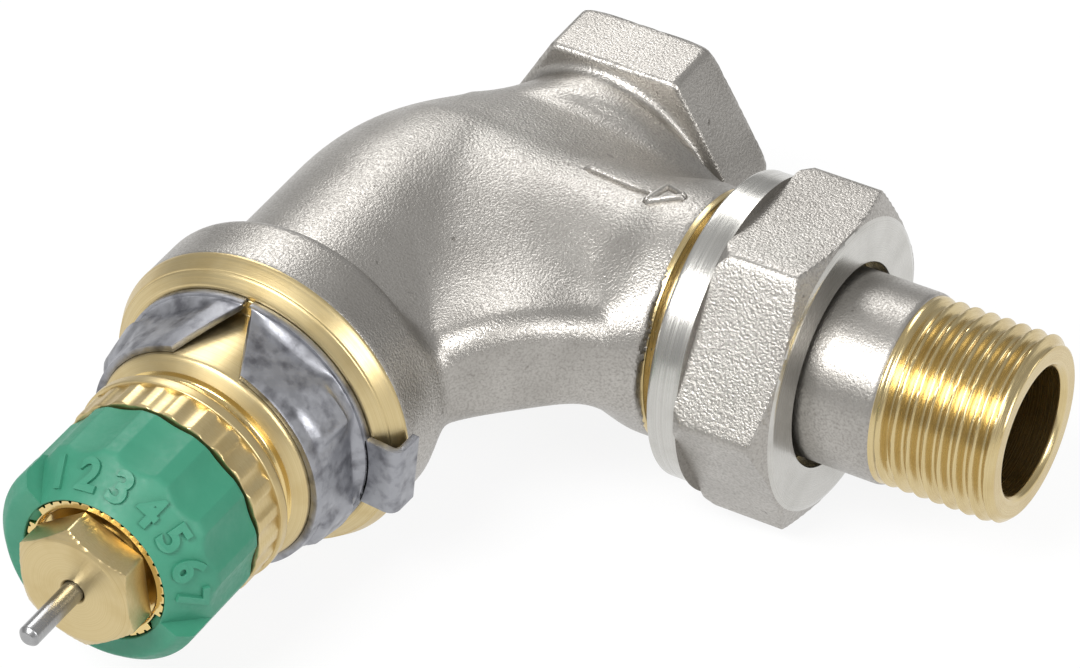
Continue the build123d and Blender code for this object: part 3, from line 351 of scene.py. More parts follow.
class Recipe:
    """One material's nodes, wired from Object coordinates to a Principled shader."""

    def __init__(self, name: str, base: Colour, metallic: float, roughness: float) -> None:
        """Starts a material with its plain values.

        Args:
            name: The material's name.
            base: Base colour, linear.
            metallic: 1 for metal and 0 for the rest.
            roughness: Roughness from 0 to 1.
        """
        self.material = bpy.data.materials.new(name)
        self.material.use_nodes = True
        self.tree = self.material.node_tree
        self.shader = self.tree.nodes["Principled BSDF"]
        self.shader.inputs["Base Color"].default_value = (*base, 1.0)
        self.shader.inputs["Metallic"].default_value = metallic
        self.shader.inputs["Roughness"].default_value = roughness
        self.place = self.tree.nodes.new("ShaderNodeTexCoord").outputs["Object"]
        self.normal = None

    def node(self, kind: str, **inputs: object) -> bpy.types.Node:
        """A new node with its inputs set or linked, named by their labels with _ for a space.

        Args:
            kind: The node's type.
            inputs: Values, or sockets to link.

        Returns:
            The node.
        """
        made = self.tree.nodes.new(kind)
        for label, value in inputs.items():
            socket = made.inputs[label.replace("_", " ")]
            if isinstance(value, bpy.types.NodeSocket):
                self.tree.links.new(value, socket)
            else:
                socket.default_value = value
        return made

    def noise(self, grain: float, detail: float = 2.0, place: object = None) -> bpy.types.NodeSocket:
        """Noise with grains of about this many millimetres.

        Args:
            grain: Size of a grain in millimetres.
            detail: Octaves of finer noise.
            place: Coordinates, or none for Object coordinates.

        Returns:
            The noise's value socket.
        """
        where = place or self.place
        made = self.node("ShaderNodeTexNoise", Vector=where, Scale=1.0 / (grain * MM), Detail=detail)
        return made.outputs["Fac"]

    def stretch(
        self, value: object, low: float, high: float, to_low: float, to_high: float
    ) -> bpy.types.NodeSocket:
        """A value mapped from one range to another, and held within it.

        Args:
            value: The socket to map.
            low: Start of its range.
            high: End of its range.
            to_low: What the start becomes.
            to_high: What the end becomes.

        Returns:
            The mapped socket.
        """
        made = self.node("ShaderNodeMapRange")
        self.tree.links.new(value, made.inputs["Value"])
        for label, number in zip(("From Min", "From Max", "To Min", "To Max"), (low, high, to_low, to_high)):
            made.inputs[label].default_value = number
        return made.outputs["Result"]

    def mix(self, share: object, first: object, second: object) -> bpy.types.NodeSocket:
        """Two colours mixed by a share.

        Args:
            share: Socket or number, 0 for the first and 1 for the second.
            first: Colour or socket.
            second: Colour or socket.

        Returns:
            The mixed colour's socket.
        """
        made = self.tree.nodes.new("ShaderNodeMix")
        made.data_type = "RGBA"
        for socket, value in ((made.inputs[0], share), (made.inputs[6], first), (made.inputs[7], second)):
            if isinstance(value, bpy.types.NodeSocket):
                self.tree.links.new(value, socket)
            else:
                socket.default_value = value if isinstance(value, float) else (*value, 1.0)
        return made.outputs[2]

    def rings(self, axis: Spindle, grain: float) -> bpy.types.NodeSocket:
        """Tool marks of a lathe: noise that only changes along the axis and off it.

        Args:
            axis: The axis that the piece was turned about.
            grain: Width of a mark in millimetres.

        Returns:
            The noise's value socket.
        """
        start = Vector(axis.crossing) * MM
        moved = self.node("ShaderNodeVectorMath", Vector=self.place)
        moved.operation = "SUBTRACT"
        moved.inputs[1].default_value = start
        off = self.node("ShaderNodeVectorMath", Vector=moved.outputs[0])
        off.operation = "MULTIPLY"
        off.inputs[1].default_value = tuple(1.0 - abs(c) for c in axis.forward)
        length = self.node("ShaderNodeVectorMath", Vector=off.outputs[0])
        length.operation = "LENGTH"
        along = self.node("ShaderNodeVectorMath", Vector=moved.outputs[0])
        along.operation = "DOT_PRODUCT"
        along.inputs[1].default_value = axis.forward
        both = self.node("ShaderNodeCombineXYZ", X=length.outputs["Value"], Y=along.outputs["Value"])
        return self.noise(grain, 3.0, both.outputs[0])

    def colour(self, socket: bpy.types.NodeSocket) -> None:
        """Links the base colour."""
        self.tree.links.new(socket, self.shader.inputs["Base Color"])

    def roughness(self, socket: bpy.types.NodeSocket) -> None:
        """Links the roughness."""
        self.tree.links.new(socket, self.shader.inputs["Roughness"])

    def bump(self, height: bpy.types.NodeSocket, strength: float, depth: float) -> None:
        """Adds a bump over those before it.

        Args:
            height: The height's socket, 0 to 1.
            strength: Share of the bump.
            depth: Height in millimetres.
        """
        made = self.node("ShaderNodeBump", Height=height, Strength=strength, Distance=depth * MM)
        if self.normal is not None:
            self.tree.links.new(self.normal, made.inputs["Normal"])
        self.normal = made.outputs["Normal"]
        self.tree.links.new(self.normal, self.shader.inputs["Normal"])


@dataclass(frozen=True)
class BlastedNickel:
    """Nickel plate over a bead-blasted casting: grainy, with dark specks and slow cloudy shades."""

    name: str
    base: Colour = (0.47, 0.45, 0.42)
    shade: Colour = (0.24, 0.225, 0.205)
    roughness: float = 0.34
    grain: float = 0.26
    depth: float = 0.075

    def build(self) -> bpy.types.Material:
        """The material: fine grain in colour, gloss and height, a few dark specks and a cloudy colour."""
        recipe = Recipe(self.name, self.base, 1.0, self.roughness)
        cloud = recipe.noise(9.0, 3.0)
        speck = recipe.noise(self.grain, 3.0)
        spot = recipe.stretch(recipe.noise(1.1, 2.0), 0.22, 0.3, 1.0, 0.0)
        tone = recipe.mix(recipe.stretch(cloud, 0.4, 0.75, 0.0, 0.45), self.base, self.shade)
        tone = recipe.mix(recipe.stretch(speck, 0.42, 0.7, 0.0, 0.55), tone, self.shade)
        recipe.colour(recipe.mix(spot, tone, self.shade))
        recipe.roughness(recipe.stretch(speck, 0.3, 0.7, self.roughness - 0.06, self.roughness + 0.12))
        recipe.bump(speck, 1.0, self.depth)
        recipe.bump(recipe.noise(0.8, 2.0), 0.5, 0.04)
        return recipe.material


@dataclass(frozen=True)
class TurnedMetal:
    """Metal with the fine rings that a lathe leaves."""

    name: str
    base: Colour
    shade: Colour
    axis: Spindle
    roughness: float = 0.24
    mark: float = 0.11
    depth: float = 0.012

    def build(self) -> bpy.types.Material:
        """The material: rings in colour, gloss and height, and a slow tarnish."""
        recipe = Recipe(self.name, self.base, 1.0, self.roughness)
        ring = recipe.rings(self.axis, self.mark)
        tarnish = recipe.stretch(recipe.noise(4.0, 4.0), 0.45, 0.75, 0.0, 0.6)
        tone = recipe.mix(recipe.stretch(ring, 0.3, 0.7, 0.0, 0.45), self.base, self.shade)
        recipe.colour(recipe.mix(tarnish, tone, self.shade))
        recipe.roughness(recipe.stretch(ring, 0.3, 0.7, self.roughness - 0.06, self.roughness + 0.1))
        recipe.bump(ring, 0.6, self.depth)
        return recipe.material


@dataclass(frozen=True)
class DullSheet:
    """Zinc-coated sheet: grey, with dark blotches and rubbed spots."""

    name: str
    base: Colour = (0.36, 0.365, 0.39)
    dark: Colour = (0.13, 0.13, 0.145)
    roughness: float = 0.42

    def build(self) -> bpy.types.Material:
        """The material: blotches, streaks and a shallow dented height."""
        recipe = Recipe(self.name, self.base, 1.0, self.roughness)
        blotch = recipe.stretch(recipe.noise(2.0, 6.0), 0.48, 0.7, 0.0, 0.85)
        recipe.colour(recipe.mix(blotch, self.base, self.dark))
        rub = recipe.noise(1.1, 4.0)
        recipe.roughness(recipe.stretch(rub, 0.3, 0.7, self.roughness - 0.1, self.roughness + 0.12))
        recipe.bump(recipe.noise(1.6, 3.0), 0.4, 0.03)
        recipe.bump(recipe.noise(0.3, 2.0), 0.5, 0.02)
        return recipe.material


@dataclass(frozen=True)
class MouldedPlastic:
    """Moulded plastic with a fine matt skin."""

    name: str
    base: Colour
    pale: Colour
    roughness: float = 0.5
    sheen: float = 0.4

    def build(self) -> bpy.types.Material:
        """The material: faint clouds and a fine bump."""
        recipe = Recipe(self.name, self.base, 0.0, self.roughness)
        recipe.shader.inputs["Specular IOR Level"].default_value = self.sheen
        cloud = recipe.stretch(recipe.noise(3.0, 4.0), 0.4, 0.75, 0.0, 0.5)
        recipe.colour(recipe.mix(cloud, self.base, self.pale))
        skin = recipe.noise(0.6, 3.0)
        recipe.roughness(recipe.stretch(skin, 0.3, 0.7, self.roughness - 0.08, self.roughness + 0.08))
        recipe.bump(recipe.noise(0.22, 2.0), 0.5, 0.02)
        return recipe.material


@dataclass(frozen=True)
class Finishes:
    """Every finish of the valve, built once."""

    cast_nickel: bpy.types.Material
    nut_nickel: bpy.types.Material
    collar_nickel: bpy.types.Material
    tail_nickel: bpy.types.Material
    head_brass: bpy.types.Material
    bright_brass: bpy.types.Material
    union_brass: bpy.types.Material
    sheet: bpy.types.Material
    pin_steel: bpy.types.Material
    spring_steel: bpy.types.Material
    green: bpy.types.Material
    grey: bpy.types.Material
    rubber: bpy.types.Material

    @classmethod
    def make(cls) -> Finishes:
        """Builds all the materials."""
        brass, deep = (0.66, 0.54, 0.30), (0.50, 0.37, 0.16)
        wire, wire_shade = (0.40, 0.40, 0.42), (0.25, 0.25, 0.26)
        black, black_sheen = (0.018, 0.018, 0.018), (0.035, 0.035, 0.035)
        pale, grey = (0.60, 0.59, 0.56), (0.42, 0.41, 0.38)
        return cls(
            cast_nickel=BlastedNickel("cast_nickel").build(),
            nut_nickel=BlastedNickel("nut_nickel", grain=0.28).build(),
            collar_nickel=TurnedMetal("collar_nickel", pale, grey, UNION, 0.22).build(),
            tail_nickel=BlastedNickel("tail_nickel", grain=0.26, depth=0.03).build(),
            head_brass=TurnedMetal("head_brass", brass, deep, HEAD, 0.34).build(),
            bright_brass=TurnedMetal("bright_brass", (0.78, 0.58, 0.24), brass, HEAD, 0.14).build(),
            union_brass=TurnedMetal("union_brass", brass, deep, UNION, 0.22).build(),
            sheet=DullSheet("clip_sheet").build(),
            pin_steel=TurnedMetal("pin_steel", (0.42, 0.42, 0.42), (0.24, 0.24, 0.25), HEAD, 0.28).build(),
            spring_steel=TurnedMetal("spring_steel", wire, wire_shade, HEAD, 0.3).build(),
            green=MouldedPlastic("green_plastic", (0.03, 0.19, 0.115), (0.05, 0.235, 0.15)).build(),
            grey=MouldedPlastic("grey_plastic", (0.19, 0.20, 0.21), (0.26, 0.27, 0.28)).build(),
            rubber=MouldedPlastic("black_rubber", black, black_sheen, 0.62, 0.3).build(),
        )


def dress(
    piece: bpy.types.Object, material: bpy.types.Material, body: Body, slot: Slot, *nodes: str
) -> bpy.types.Object:
    """Gives a new piece its material, the body it rides on and the nodes it stands for.

    Args:
        piece: The piece.
        material: Its finish.
        body: The body that carries it.
        slot: The record's slot for it; not used.
        nodes: Nodes of the frame that it replaces.

    Returns:
        The piece.
    """
    piece.data.materials.append(material)
    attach(piece, body.value)
    if nodes:
        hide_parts(*nodes)
    LOG.info("%s: %d faces on %s", piece.name, len(piece.data.polygons), body.value)
    return piece


def paint(piece: bpy.types.Object, material: bpy.types.Material, chosen: Array) -> None:
    """Gives some of a piece's faces a second finish.

    Args:
        piece: The piece.
        material: The second finish.
        chosen: True for each face that gets it.
    """
    piece.data.materials.append(material)
    index = np.zeros(len(piece.data.polygons), np.int32)
    piece.data.polygons.foreach_get("material_index", index)
    index[chosen] = len(piece.data.materials) - 1
    piece.data.polygons.foreach_set("material_index", index)


def face_middles(piece: bpy.types.Object) -> Array:
    """Middle of each face in millimetres, one row each."""
    middles = np.zeros(len(piece.data.polygons) * 3)
    piece.data.polygons.foreach_get("center", middles)
    return middles.reshape(-1, 3) / MM


def smooth_min(first: Array, second: Array, reach: float | Array) -> Array:
    """Union of two solids with a fillet: min(a, b) - h^2 reach / 4, where h = max(1 - |a - b| / reach, 0)."""
    near = np.maximum(reach - np.abs(first - second), 0.0) / reach
    return np.minimum(first, second) - near**2 * reach / 4


def smooth_max(first: Array, second: Array, reach: float | Array) -> Array:
    """Common part of two solids with a rounded edge, the mirror of smooth_min."""
    return -smooth_min(-first, -second, reach)


@dataclass
class Casting:
    """The valve's cast body: a bent tube, a branch, a gusset, a barrel and a hexagon, melted together.

    The surface is where a sum of distances is zero. In (along the head, along the union, up) places each
    form is a distance, and the forms are joined with fillets.
    """

    tube: float = 14.4
    tube_neck: float = 10.7
    rise_taper: float = 0.0082
    side_taper: float = 0.0125
    side_start: float = 8.0
    neck_blend: float = 1.5
    bend_start: float = 9.0
    bend_radius: float = 43.0
    branch: float = 13.0
    rim: float = 14.2
    rim_start: float = 31.2
    branch_end: float = 34.0
    flare: float = 7.0
    branch_fillet: float = 11.0
    fillet_fade: float = 4.0
    gusset_half: float = 5.6
    gusset_middle: float = 2.2
    gusset_crown: float = 2.0
    gusset_round: float = 3.4
    gusset_from: tuple[float, float] = (27.6, 17.6)
    gusset_to: tuple[float, float] = (15.4, 30.6)
    gusset_fillet: float = 5.5
    barrel: float = 17.85
    barrel_back: float = 27.6
    barrel_round: float = 1.9
    barrel_fillet: float = 2.2
    plated_end: float = 35.3
    barrel_bore: float = 15.02
    barrel_front: float = 38.0
    bare_sink: float = 0.35
    spigot_core: float = 11.9
    hexagon: float = 27.0
    hexagon_back: float = -27.0
    hexagon_front: float = -18.7
    hexagon_root: float = 2.0
    hexagon_axis: float = 11.6
    hexagon_face: float = 1.3
    hexagon_fillet: float = 1.4
    hexagon_edge: float = 0.45
    socket: float = 10.7
    socket_end: float = -15.2
    socket_fillet: float = 4.0
    edge: float = 0.9
    voxel: float = 0.5
    reach: float = 4.5
    sweeps: int = 4
    rounds: int = 2
    inner_front: float = -5.0

    def distance(self, place: Array) -> Array:
        """Signed distance, roughly, from the body's outer surface; below 0 is inside.

        Args:
            place: Places as (along the head, along the union, up) in millimetres.

        Returns:
            One distance each.
        """
        s, t, z = place.T
        into = np.clip(self.bend_start - s, 0.0, self.bend_radius * 0.8)
        shift = self.bend_radius - np.sqrt(self.bend_radius**2 - into**2)
        neck = np.full_like(s, self.tube_neck)
        sideways = np.maximum(into - self.side_start, 0.0)
        wide_tube = smooth_max(self.tube - self.side_taper * sideways**2, neck, self.neck_blend)
        high_tube = smooth_max(self.tube - self.rise_taper * into**2, neck, self.neck_blend)
        swell = np.maximum(np.hypot((t - shift) / wide_tube, z / high_tube), 1e-3)
        tube = np.hypot(t - shift, z) * (1 - 1 / swell)
        tube = smooth_max(tube, self.hexagon_front - self.hexagon_root - s, self.edge)
        tube = np.maximum(tube, s - self.plated_end)

        spread = np.clip((t - self.rim_start + self.flare) / self.flare, 0.0, 1.0)
        wide = self.branch + (self.rim - self.branch) * spread**2 * (3 - 2 * spread)
        branch = smooth_max(np.hypot(s, z) - wide, t - self.branch_end, self.edge)
        branch = np.maximum(branch, -t)
        lean = into / np.sqrt(self.bend_radius**2 - into**2)
        across = np.stack([lean * (t - shift), t - shift, z])
        round_branch = np.stack([s, np.zeros_like(s), z])
        facing = (across * round_branch).sum(0)
        facing /= np.maximum(np.linalg.norm(across, axis=0) * np.linalg.norm(round_branch, axis=0), 1e-6)
        fade = np.clip((s - self.hexagon_front) / self.fillet_fade + 0.5, 0.01, 1.0)
        solid = smooth_min(tube, branch, self.ball_reach(self.branch_fillet, facing) * fade)

        run = np.subtract(self.gusset_to, self.gusset_from)
        normal = np.array([run[1], -run[0]]) / np.hypot(*run)
        beyond = (s - self.gusset_from[0]) * normal[0] + (t - self.gusset_from[1]) * normal[1]
        middle = ((s - self.gusset_from[0]) * run[0] + (t - self.gusset_from[1]) * run[1]) / (run**2).sum()
        crown = self.gusset_crown * np.clip(1 - (2 * middle - 1) ** 2, 0.0, 1.0)
        above = z - self.gusset_middle
        high = np.abs(above) - self.gusset_half - np.where(above > 0, crown, 0.0)
        gusset = self.rounded_corner(beyond, high, self.gusset_round)
        gusset = smooth_max(gusset, np.maximum(-s, -t), 2.0)
        gusset = np.maximum(gusset, np.maximum(s - self.plated_end + 4.0, t - self.branch_end + 1.5))
        solid = smooth_min(solid, gusset, self.gusset_fillet)

        off = np.hypot(t, z)
        barrel = self.rounded_corner(off - self.barrel, self.barrel_back - s, self.barrel_round)
        barrel = np.maximum(barrel, s - self.plated_end)
        solid = smooth_min(solid, barrel, self.barrel_fillet)

        side = t - self.hexagon_axis
        socket = smooth_max(np.hypot(side, z) - self.socket, s - self.socket_end, self.edge)
        socket = np.maximum(socket, self.hexagon_front - self.hexagon_root - s)
        solid = smooth_min(solid, socket, self.socket_fillet)
        half = self.hexagon / 2
        slant = np.abs(side) * np.cos(np.pi / 6) + np.abs(z) * 0.5
        hexagon = smooth_max(slant - half, np.abs(z) - half, self.hexagon_edge)
        chamfer = (np.hypot(side, z) - half - self.hexagon_face + (self.hexagon_back - s) * 1.3) * 0.6
        hexagon = smooth_max(hexagon, chamfer, self.hexagon_edge)
        hexagon = smooth_max(hexagon, self.hexagon_back - s, self.hexagon_edge)
        hexagon = smooth_max(hexagon, s - self.hexagon_front, self.hexagon_edge)
        return smooth_min(solid, hexagon, self.hexagon_fillet)

    @staticmethod
    def ball_reach(radius: float, facing: Array) -> Array:
        """Reach of smooth_min for a ball of radius r in the crease: 4 r (1 - cos(half the normals' turn))."""
        return np.maximum(4 * radius * (1 - np.sqrt(np.clip((1 + facing) / 2, 0.0, 1.0))), 0.05)

    @staticmethod
    def rounded_corner(first: Array, second: Array, radius: float) -> Array:
        """Common part of two half spaces with a round edge between them.

        Args:
            first: Distance from the first face.
            second: Distance from the second face.
            radius: Radius of the edge.

        Returns:
            min(max(a, b), 0) + length(max(a, 0), max(b, 0)) - radius, with a and b moved in by the radius.
        """
        a, b = first + radius, second + radius
        return np.minimum(np.maximum(a, b), 0.0) + np.hypot(np.maximum(a, 0.0), np.maximum(b, 0.0)) - radius

    def gradient(self, place: Array) -> Array:
        """Slope of the distance, by differences over a twentieth of a millimetre each way."""
        step = 0.05
        moves = np.eye(3) * step
        return np.stack([self.distance(place + m) - self.distance(place - m) for m in moves], -1) / (2 * step)

    def settled(self, place: Array, rounds: int = 4) -> Array:
        """Places moved down the slope onto the surface: p - d g / |g|^2, a few times over.

        Args:
            place: Places near the surface.
            rounds: How many times to move.

        Returns:
            Places on the surface.
        """
        for _ in range(rounds):
            slope = self.gradient(place)
            size = np.maximum((slope**2).sum(1), 0.05)
            place = place - np.clip(self.distance(place) / size, -1.5, 1.5)[:, None] * slope
        return place

    def evened(self, piece: bpy.types.Object) -> bpy.types.Mesh:
        """A new mesh of the piece in even quads, by voxels of the casting's grain."""
        remesh = piece.modifiers.new("even", "REMESH")
        remesh.mode = "VOXEL"
        remesh.voxel_size = self.voxel * MM
        mesh = bpy.data.meshes.new_from_object(piece.evaluated_get(bpy.context.evaluated_depsgraph_get()))
        piece.modifiers.clear()
        return mesh

    def settle_mesh(self, mesh: bpy.types.Mesh) -> None:
        """Settles the outside of an even mesh on the melted surface, and leaves bores and bare ends.

        Sweeps of smoothing, p = (p + mean of neighbours) / 2, keep the points evenly spread. The inlet's
        inner walls are only smoothed.

        Args:
            mesh: The mesh, changed in place.
        """
        count = len(mesh.vertices)
        points = np.zeros(count * 3)
        mesh.vertices.foreach_get("co", points)
        points = points.reshape(-1, 3) / MM - np.array(CROSSING)
        place = np.stack([-points[:, 1], points[:, 0], points[:, 2]], 1)
        edges = np.zeros(len(mesh.edges) * 2, np.int64)
        mesh.edges.foreach_get("vertices", edges)
        first, second = edges.reshape(-1, 2).T
        degree = np.bincount(np.r_[first, second], minlength=count)[:, None]
        normals = np.zeros(count * 3)
        mesh.vertices.foreach_get("normal", normals)
        normals = normals.reshape(-1, 3)
        facing = (np.stack([-normals[:, 1], normals[:, 0], normals[:, 2]], 1) * self.gradient(place)).sum(1)
        proud = self.distance(place)
        outside = (np.abs(proud) < self.reach) & ((facing > 0.15) | (proud > 0.1))
        outside &= (place[:, 0] < self.plated_end - 0.2) & (place[:, 1] < self.branch_end - 0.3)
        inner = ~outside & (place[:, 0] < self.inner_front)
        for _ in range(self.sweeps):
            sums = [
                np.bincount(first, place[second, i], count) + np.bincount(second, place[first, i], count)
                for i in range(3)
            ]
            evener = 0.5 * place + 0.5 * np.stack(sums, 1) / degree
            place = np.where((outside | inner)[:, None], evener, place)
            place[outside] = self.settled(place[outside], 2)
        place[outside] = self.settled(place[outside])
        points = np.stack([place[:, 1], -place[:, 0], place[:, 2]], 1) + np.array(CROSSING)
        mesh.vertices.foreach_set("co", (points * MM).ravel())
        mesh.update()

    def sink_bare_ends(self, mesh: bpy.types.Mesh) -> None:
        """Sinks the barrel's end and the union's spigot under their brass: they are kept short of it.

        Args:
            mesh: The mesh, changed in place.
        """
        points = np.zeros(len(mesh.vertices) * 3)
        mesh.vertices.foreach_get("co", points)
        points = points.reshape(-1, 3) / MM - np.array(CROSSING)
        off = np.hypot(points[:, 0], points[:, 2])
        bare = (-points[:, 1] > self.plated_end) & (off > self.barrel_bore)
        shrink = np.maximum(off - self.bare_sink, self.barrel_bore)[bare] / off[bare]
        points[bare, 0] *= shrink
        points[bare, 2] *= shrink
        points[bare, 1] = np.maximum(points[bare, 1], self.bare_sink - self.barrel_front)
        off = np.hypot(points[:, 1], points[:, 2])
        bare = (points[:, 0] > self.branch_end + 0.1) & (off > self.spigot_core)
        points[bare, 1] *= self.spigot_core / off[bare]
        points[bare, 2] *= self.spigot_core / off[bare]
        mesh.vertices.foreach_set("co", ((points + np.array(CROSSING)) * MM).ravel())
        mesh.update()

    def build(self, finishes: Finishes) -> bpy.types.Object:
        """The body: the frame's casting, remeshed and settled on the melted surface twice over.

        Args:
            finishes: The valve's materials.

        Returns:
            The piece.
        """
        piece = bpy.data.objects.new("cast_body", bpy.data.objects["valve_body"].data.copy())
        bpy.context.scene.collection.objects.link(piece)
        piece.data.materials.clear()
        for _ in range(self.rounds):
            piece.data = self.evened(piece)
            self.settle_mesh(piece.data)
        self.sink_bare_ends(piece.data)
        piece.data.shade_smooth()
        return dress(piece, finishes.cast_nickel, Body.CASTING, Slot.NICKEL, "valve_body")


@dataclass
class BodyFittings:
    """Bare brass of the body: the barrel's machined end, the union's spigot, and the cast flow arrow."""

    barrel: float = 17.85
    barrel_bore: float = 15.05
    ring_back: float = 35.1
    cone_back: float = 35.35
    cone_front: float = 37.0
    cone_radius: float = 17.08
    step: float = 0.18
    ring_front: float = 38.0
    face_radius: float = 15.66
    spigot: float = 13.1
    spigot_back: float = 33.0
    branch_rim: float = 14.26
    rim_back: float = 33.45
    rim_front: float = 34.15
    spigot_end: float = 44.4
    spigot_bore: float = 7.5
    seat_mouth: float = 10.6
    seat_depth: float = 3.0
    pitch: float = 1.814
    thread_depth: float = 0.9
    thread_back: float = 36.0
    arrow_width: float = 0.8
    arrow_height: float = 0.6
    arrow_drop: float = 15.0
    arrow_tail: tuple[float, float] = (-1.8, 17.9)
    arrow_neck: tuple[float, float] = (-0.8, 26.9)
    arrow_tip: tuple[float, float] = (-0.8, 30.7)
    arrow_corners: tuple[tuple[float, float], tuple[float, float]] = ((1.3, 26.5), (-2.6, 27.4))

    def barrel_end(self, finishes: Finishes) -> bpy.types.Object:
        """The barrel's brass end: a ring with two sloping bands and a fine step between them."""
        outline = softened(
            [
                (self.ring_back, self.barrel_bore, 0.0),
                (self.ring_back, self.barrel + 0.03, 0.0),
                (self.cone_back, self.barrel + 0.02, 0.2),
                (self.cone_front, self.cone_radius, 0.1),
                (self.cone_front + 0.04, self.cone_radius - self.step, 0.05),
                (self.cone_front + self.step, self.cone_radius - self.step - 0.06, 0.1),
                (self.ring_front, self.face_radius, 0.2),
                (self.ring_front, self.barrel_bore, 0.15),
            ]
        )
        piece = build("barrel_end", *outward(lathe(HEAD, outline, 256)))
        return dress(piece, finishes.head_brass, Body.CASTING, Slot.BRASS)

    def union_spigot(self, finishes: Finishes) -> bpy.types.Object:
        """The threaded spigot: a turned section with a groove of depth (1 - cos phase) / 2 wound round it."""
        outline = resampled(
            softened(
                [
                    (self.spigot_back, self.spigot_bore, 0.0),
                    (self.spigot_back, self.spigot, 0.0),
                    (self.rim_back, self.spigot, 0.0),
                    (self.rim_back, self.branch_rim, 0.0),
                    (self.rim_front, self.branch_rim, 0.15),
                    (self.rim_front, self.spigot, 0.0),
                    (self.spigot_end, self.spigot, 0.5),
                    (self.spigot_end, self.seat_mouth, 0.2),
                    (self.spigot_end - self.seat_depth, self.spigot_bore, 0.2),
                ]
            ),
            0.2,
        )

        def thread(along: Array, radius: Array, angle: Array) -> Array:
            """Cuts the groove into the outside, fading in from the plain neck."""
            phase = (along / self.pitch + angle / TURN) % 1.0
            groove = self.thread_depth * (0.5 - 0.5 * np.cos(phase * TURN))
            fade = np.clip((along - self.thread_back) / self.pitch, 0.0, 1.0)
            return np.where(radius > self.seat_mouth + 1.0, radius - groove * fade, radius)

        piece = build("union_spigot", *outward(lathe(UNION, outline, 160, thread)))
        return dress(piece, finishes.union_brass, Body.CASTING, Slot.BRASS)

    def flow_arrow(self, casting: Casting, finishes: Finishes) -> bpy.types.Object:
        """The raised arrow on the branch: a shaft and an outlined head, as low ridges laid on the casting.

        Each ridge is a half-round bar: points side * w across a straight run, raised by h sqrt(1 - w^2).

        Args:
            casting: The body whose surface carries the arrow.
            finishes: The valve's materials.

        Returns:
            The piece.
        """
        near, far = self.arrow_corners
        shaft, tip = (self.arrow_tail, self.arrow_neck), self.arrow_tip
        ends = [shaft, (near, tip), (far, tip), (near, far)]
        bars = [self.ridge(casting, np.array(start), np.array(end)) for start, end in ends]
        piece = build("flow_arrow", *outward(joined(*bars)))
        return dress(piece, finishes.cast_nickel, Body.CASTING, Slot.NICKEL)

    def ridge(
        self, casting: Casting, start: Array, end: Array, rows: int = 40, columns: int = 13
    ) -> tuple[Array, Array]:
        """One low ridge with closed ends on the casting's top.

        Args:
            casting: The body that carries it.
            start: Start as (along the head, along the union).
            end: End in the same terms.
            rows: Points along it.
            columns: Points across it.

        Returns:
            Points in metres and quads.
        """
        share = np.linspace(0.0, 1.0, rows)[:, None]
        across = np.linspace(-1.0, 1.0, columns)[None, :]
        run = (end - start) / np.linalg.norm(end - start)
        side = np.array([run[1], -run[0]]) * self.arrow_width / 2
        flat = start + (end - start) * share[..., None] + across[..., None] * side
        above = np.full((*flat.shape[:2], 1), self.arrow_drop)
        ground = casting.settled(np.concatenate([flat, above], -1).reshape(-1, 3), 14)
        run_out = np.minimum(np.minimum(share, 1 - share) * rows / 4, 1.0) ** 0.5
        lift = np.sqrt(np.maximum(1 - across**2, 0.0)) * run_out
        crown = (lift * self.arrow_height).reshape(-1, 1)
        slope = casting.gradient(ground)
        slope /= np.linalg.norm(slope, axis=1, keepdims=True)
        top = ground + slope * (crown - 0.03)
        foot = ground - slope * 0.4
        grid = (rows, columns, 3)
        loop = np.concatenate([top.reshape(grid), foot.reshape(grid)[:, ::-1]], 1).reshape(-1, 3)
        points = np.stack([loop[:, 1], -loop[:, 0], loop[:, 2]], 1) + np.array(CROSSING)
        sides = grid_faces(rows, 2 * columns, False, True)
        near = np.arange(columns - 1)
        cap = np.stack([near, near + 1, 2 * columns - 2 - near, 2 * columns - 1 - near], 1)
        return points * MM, np.concatenate([sides, cap[:, ::-1], cap + (rows - 1) * 2 * columns])


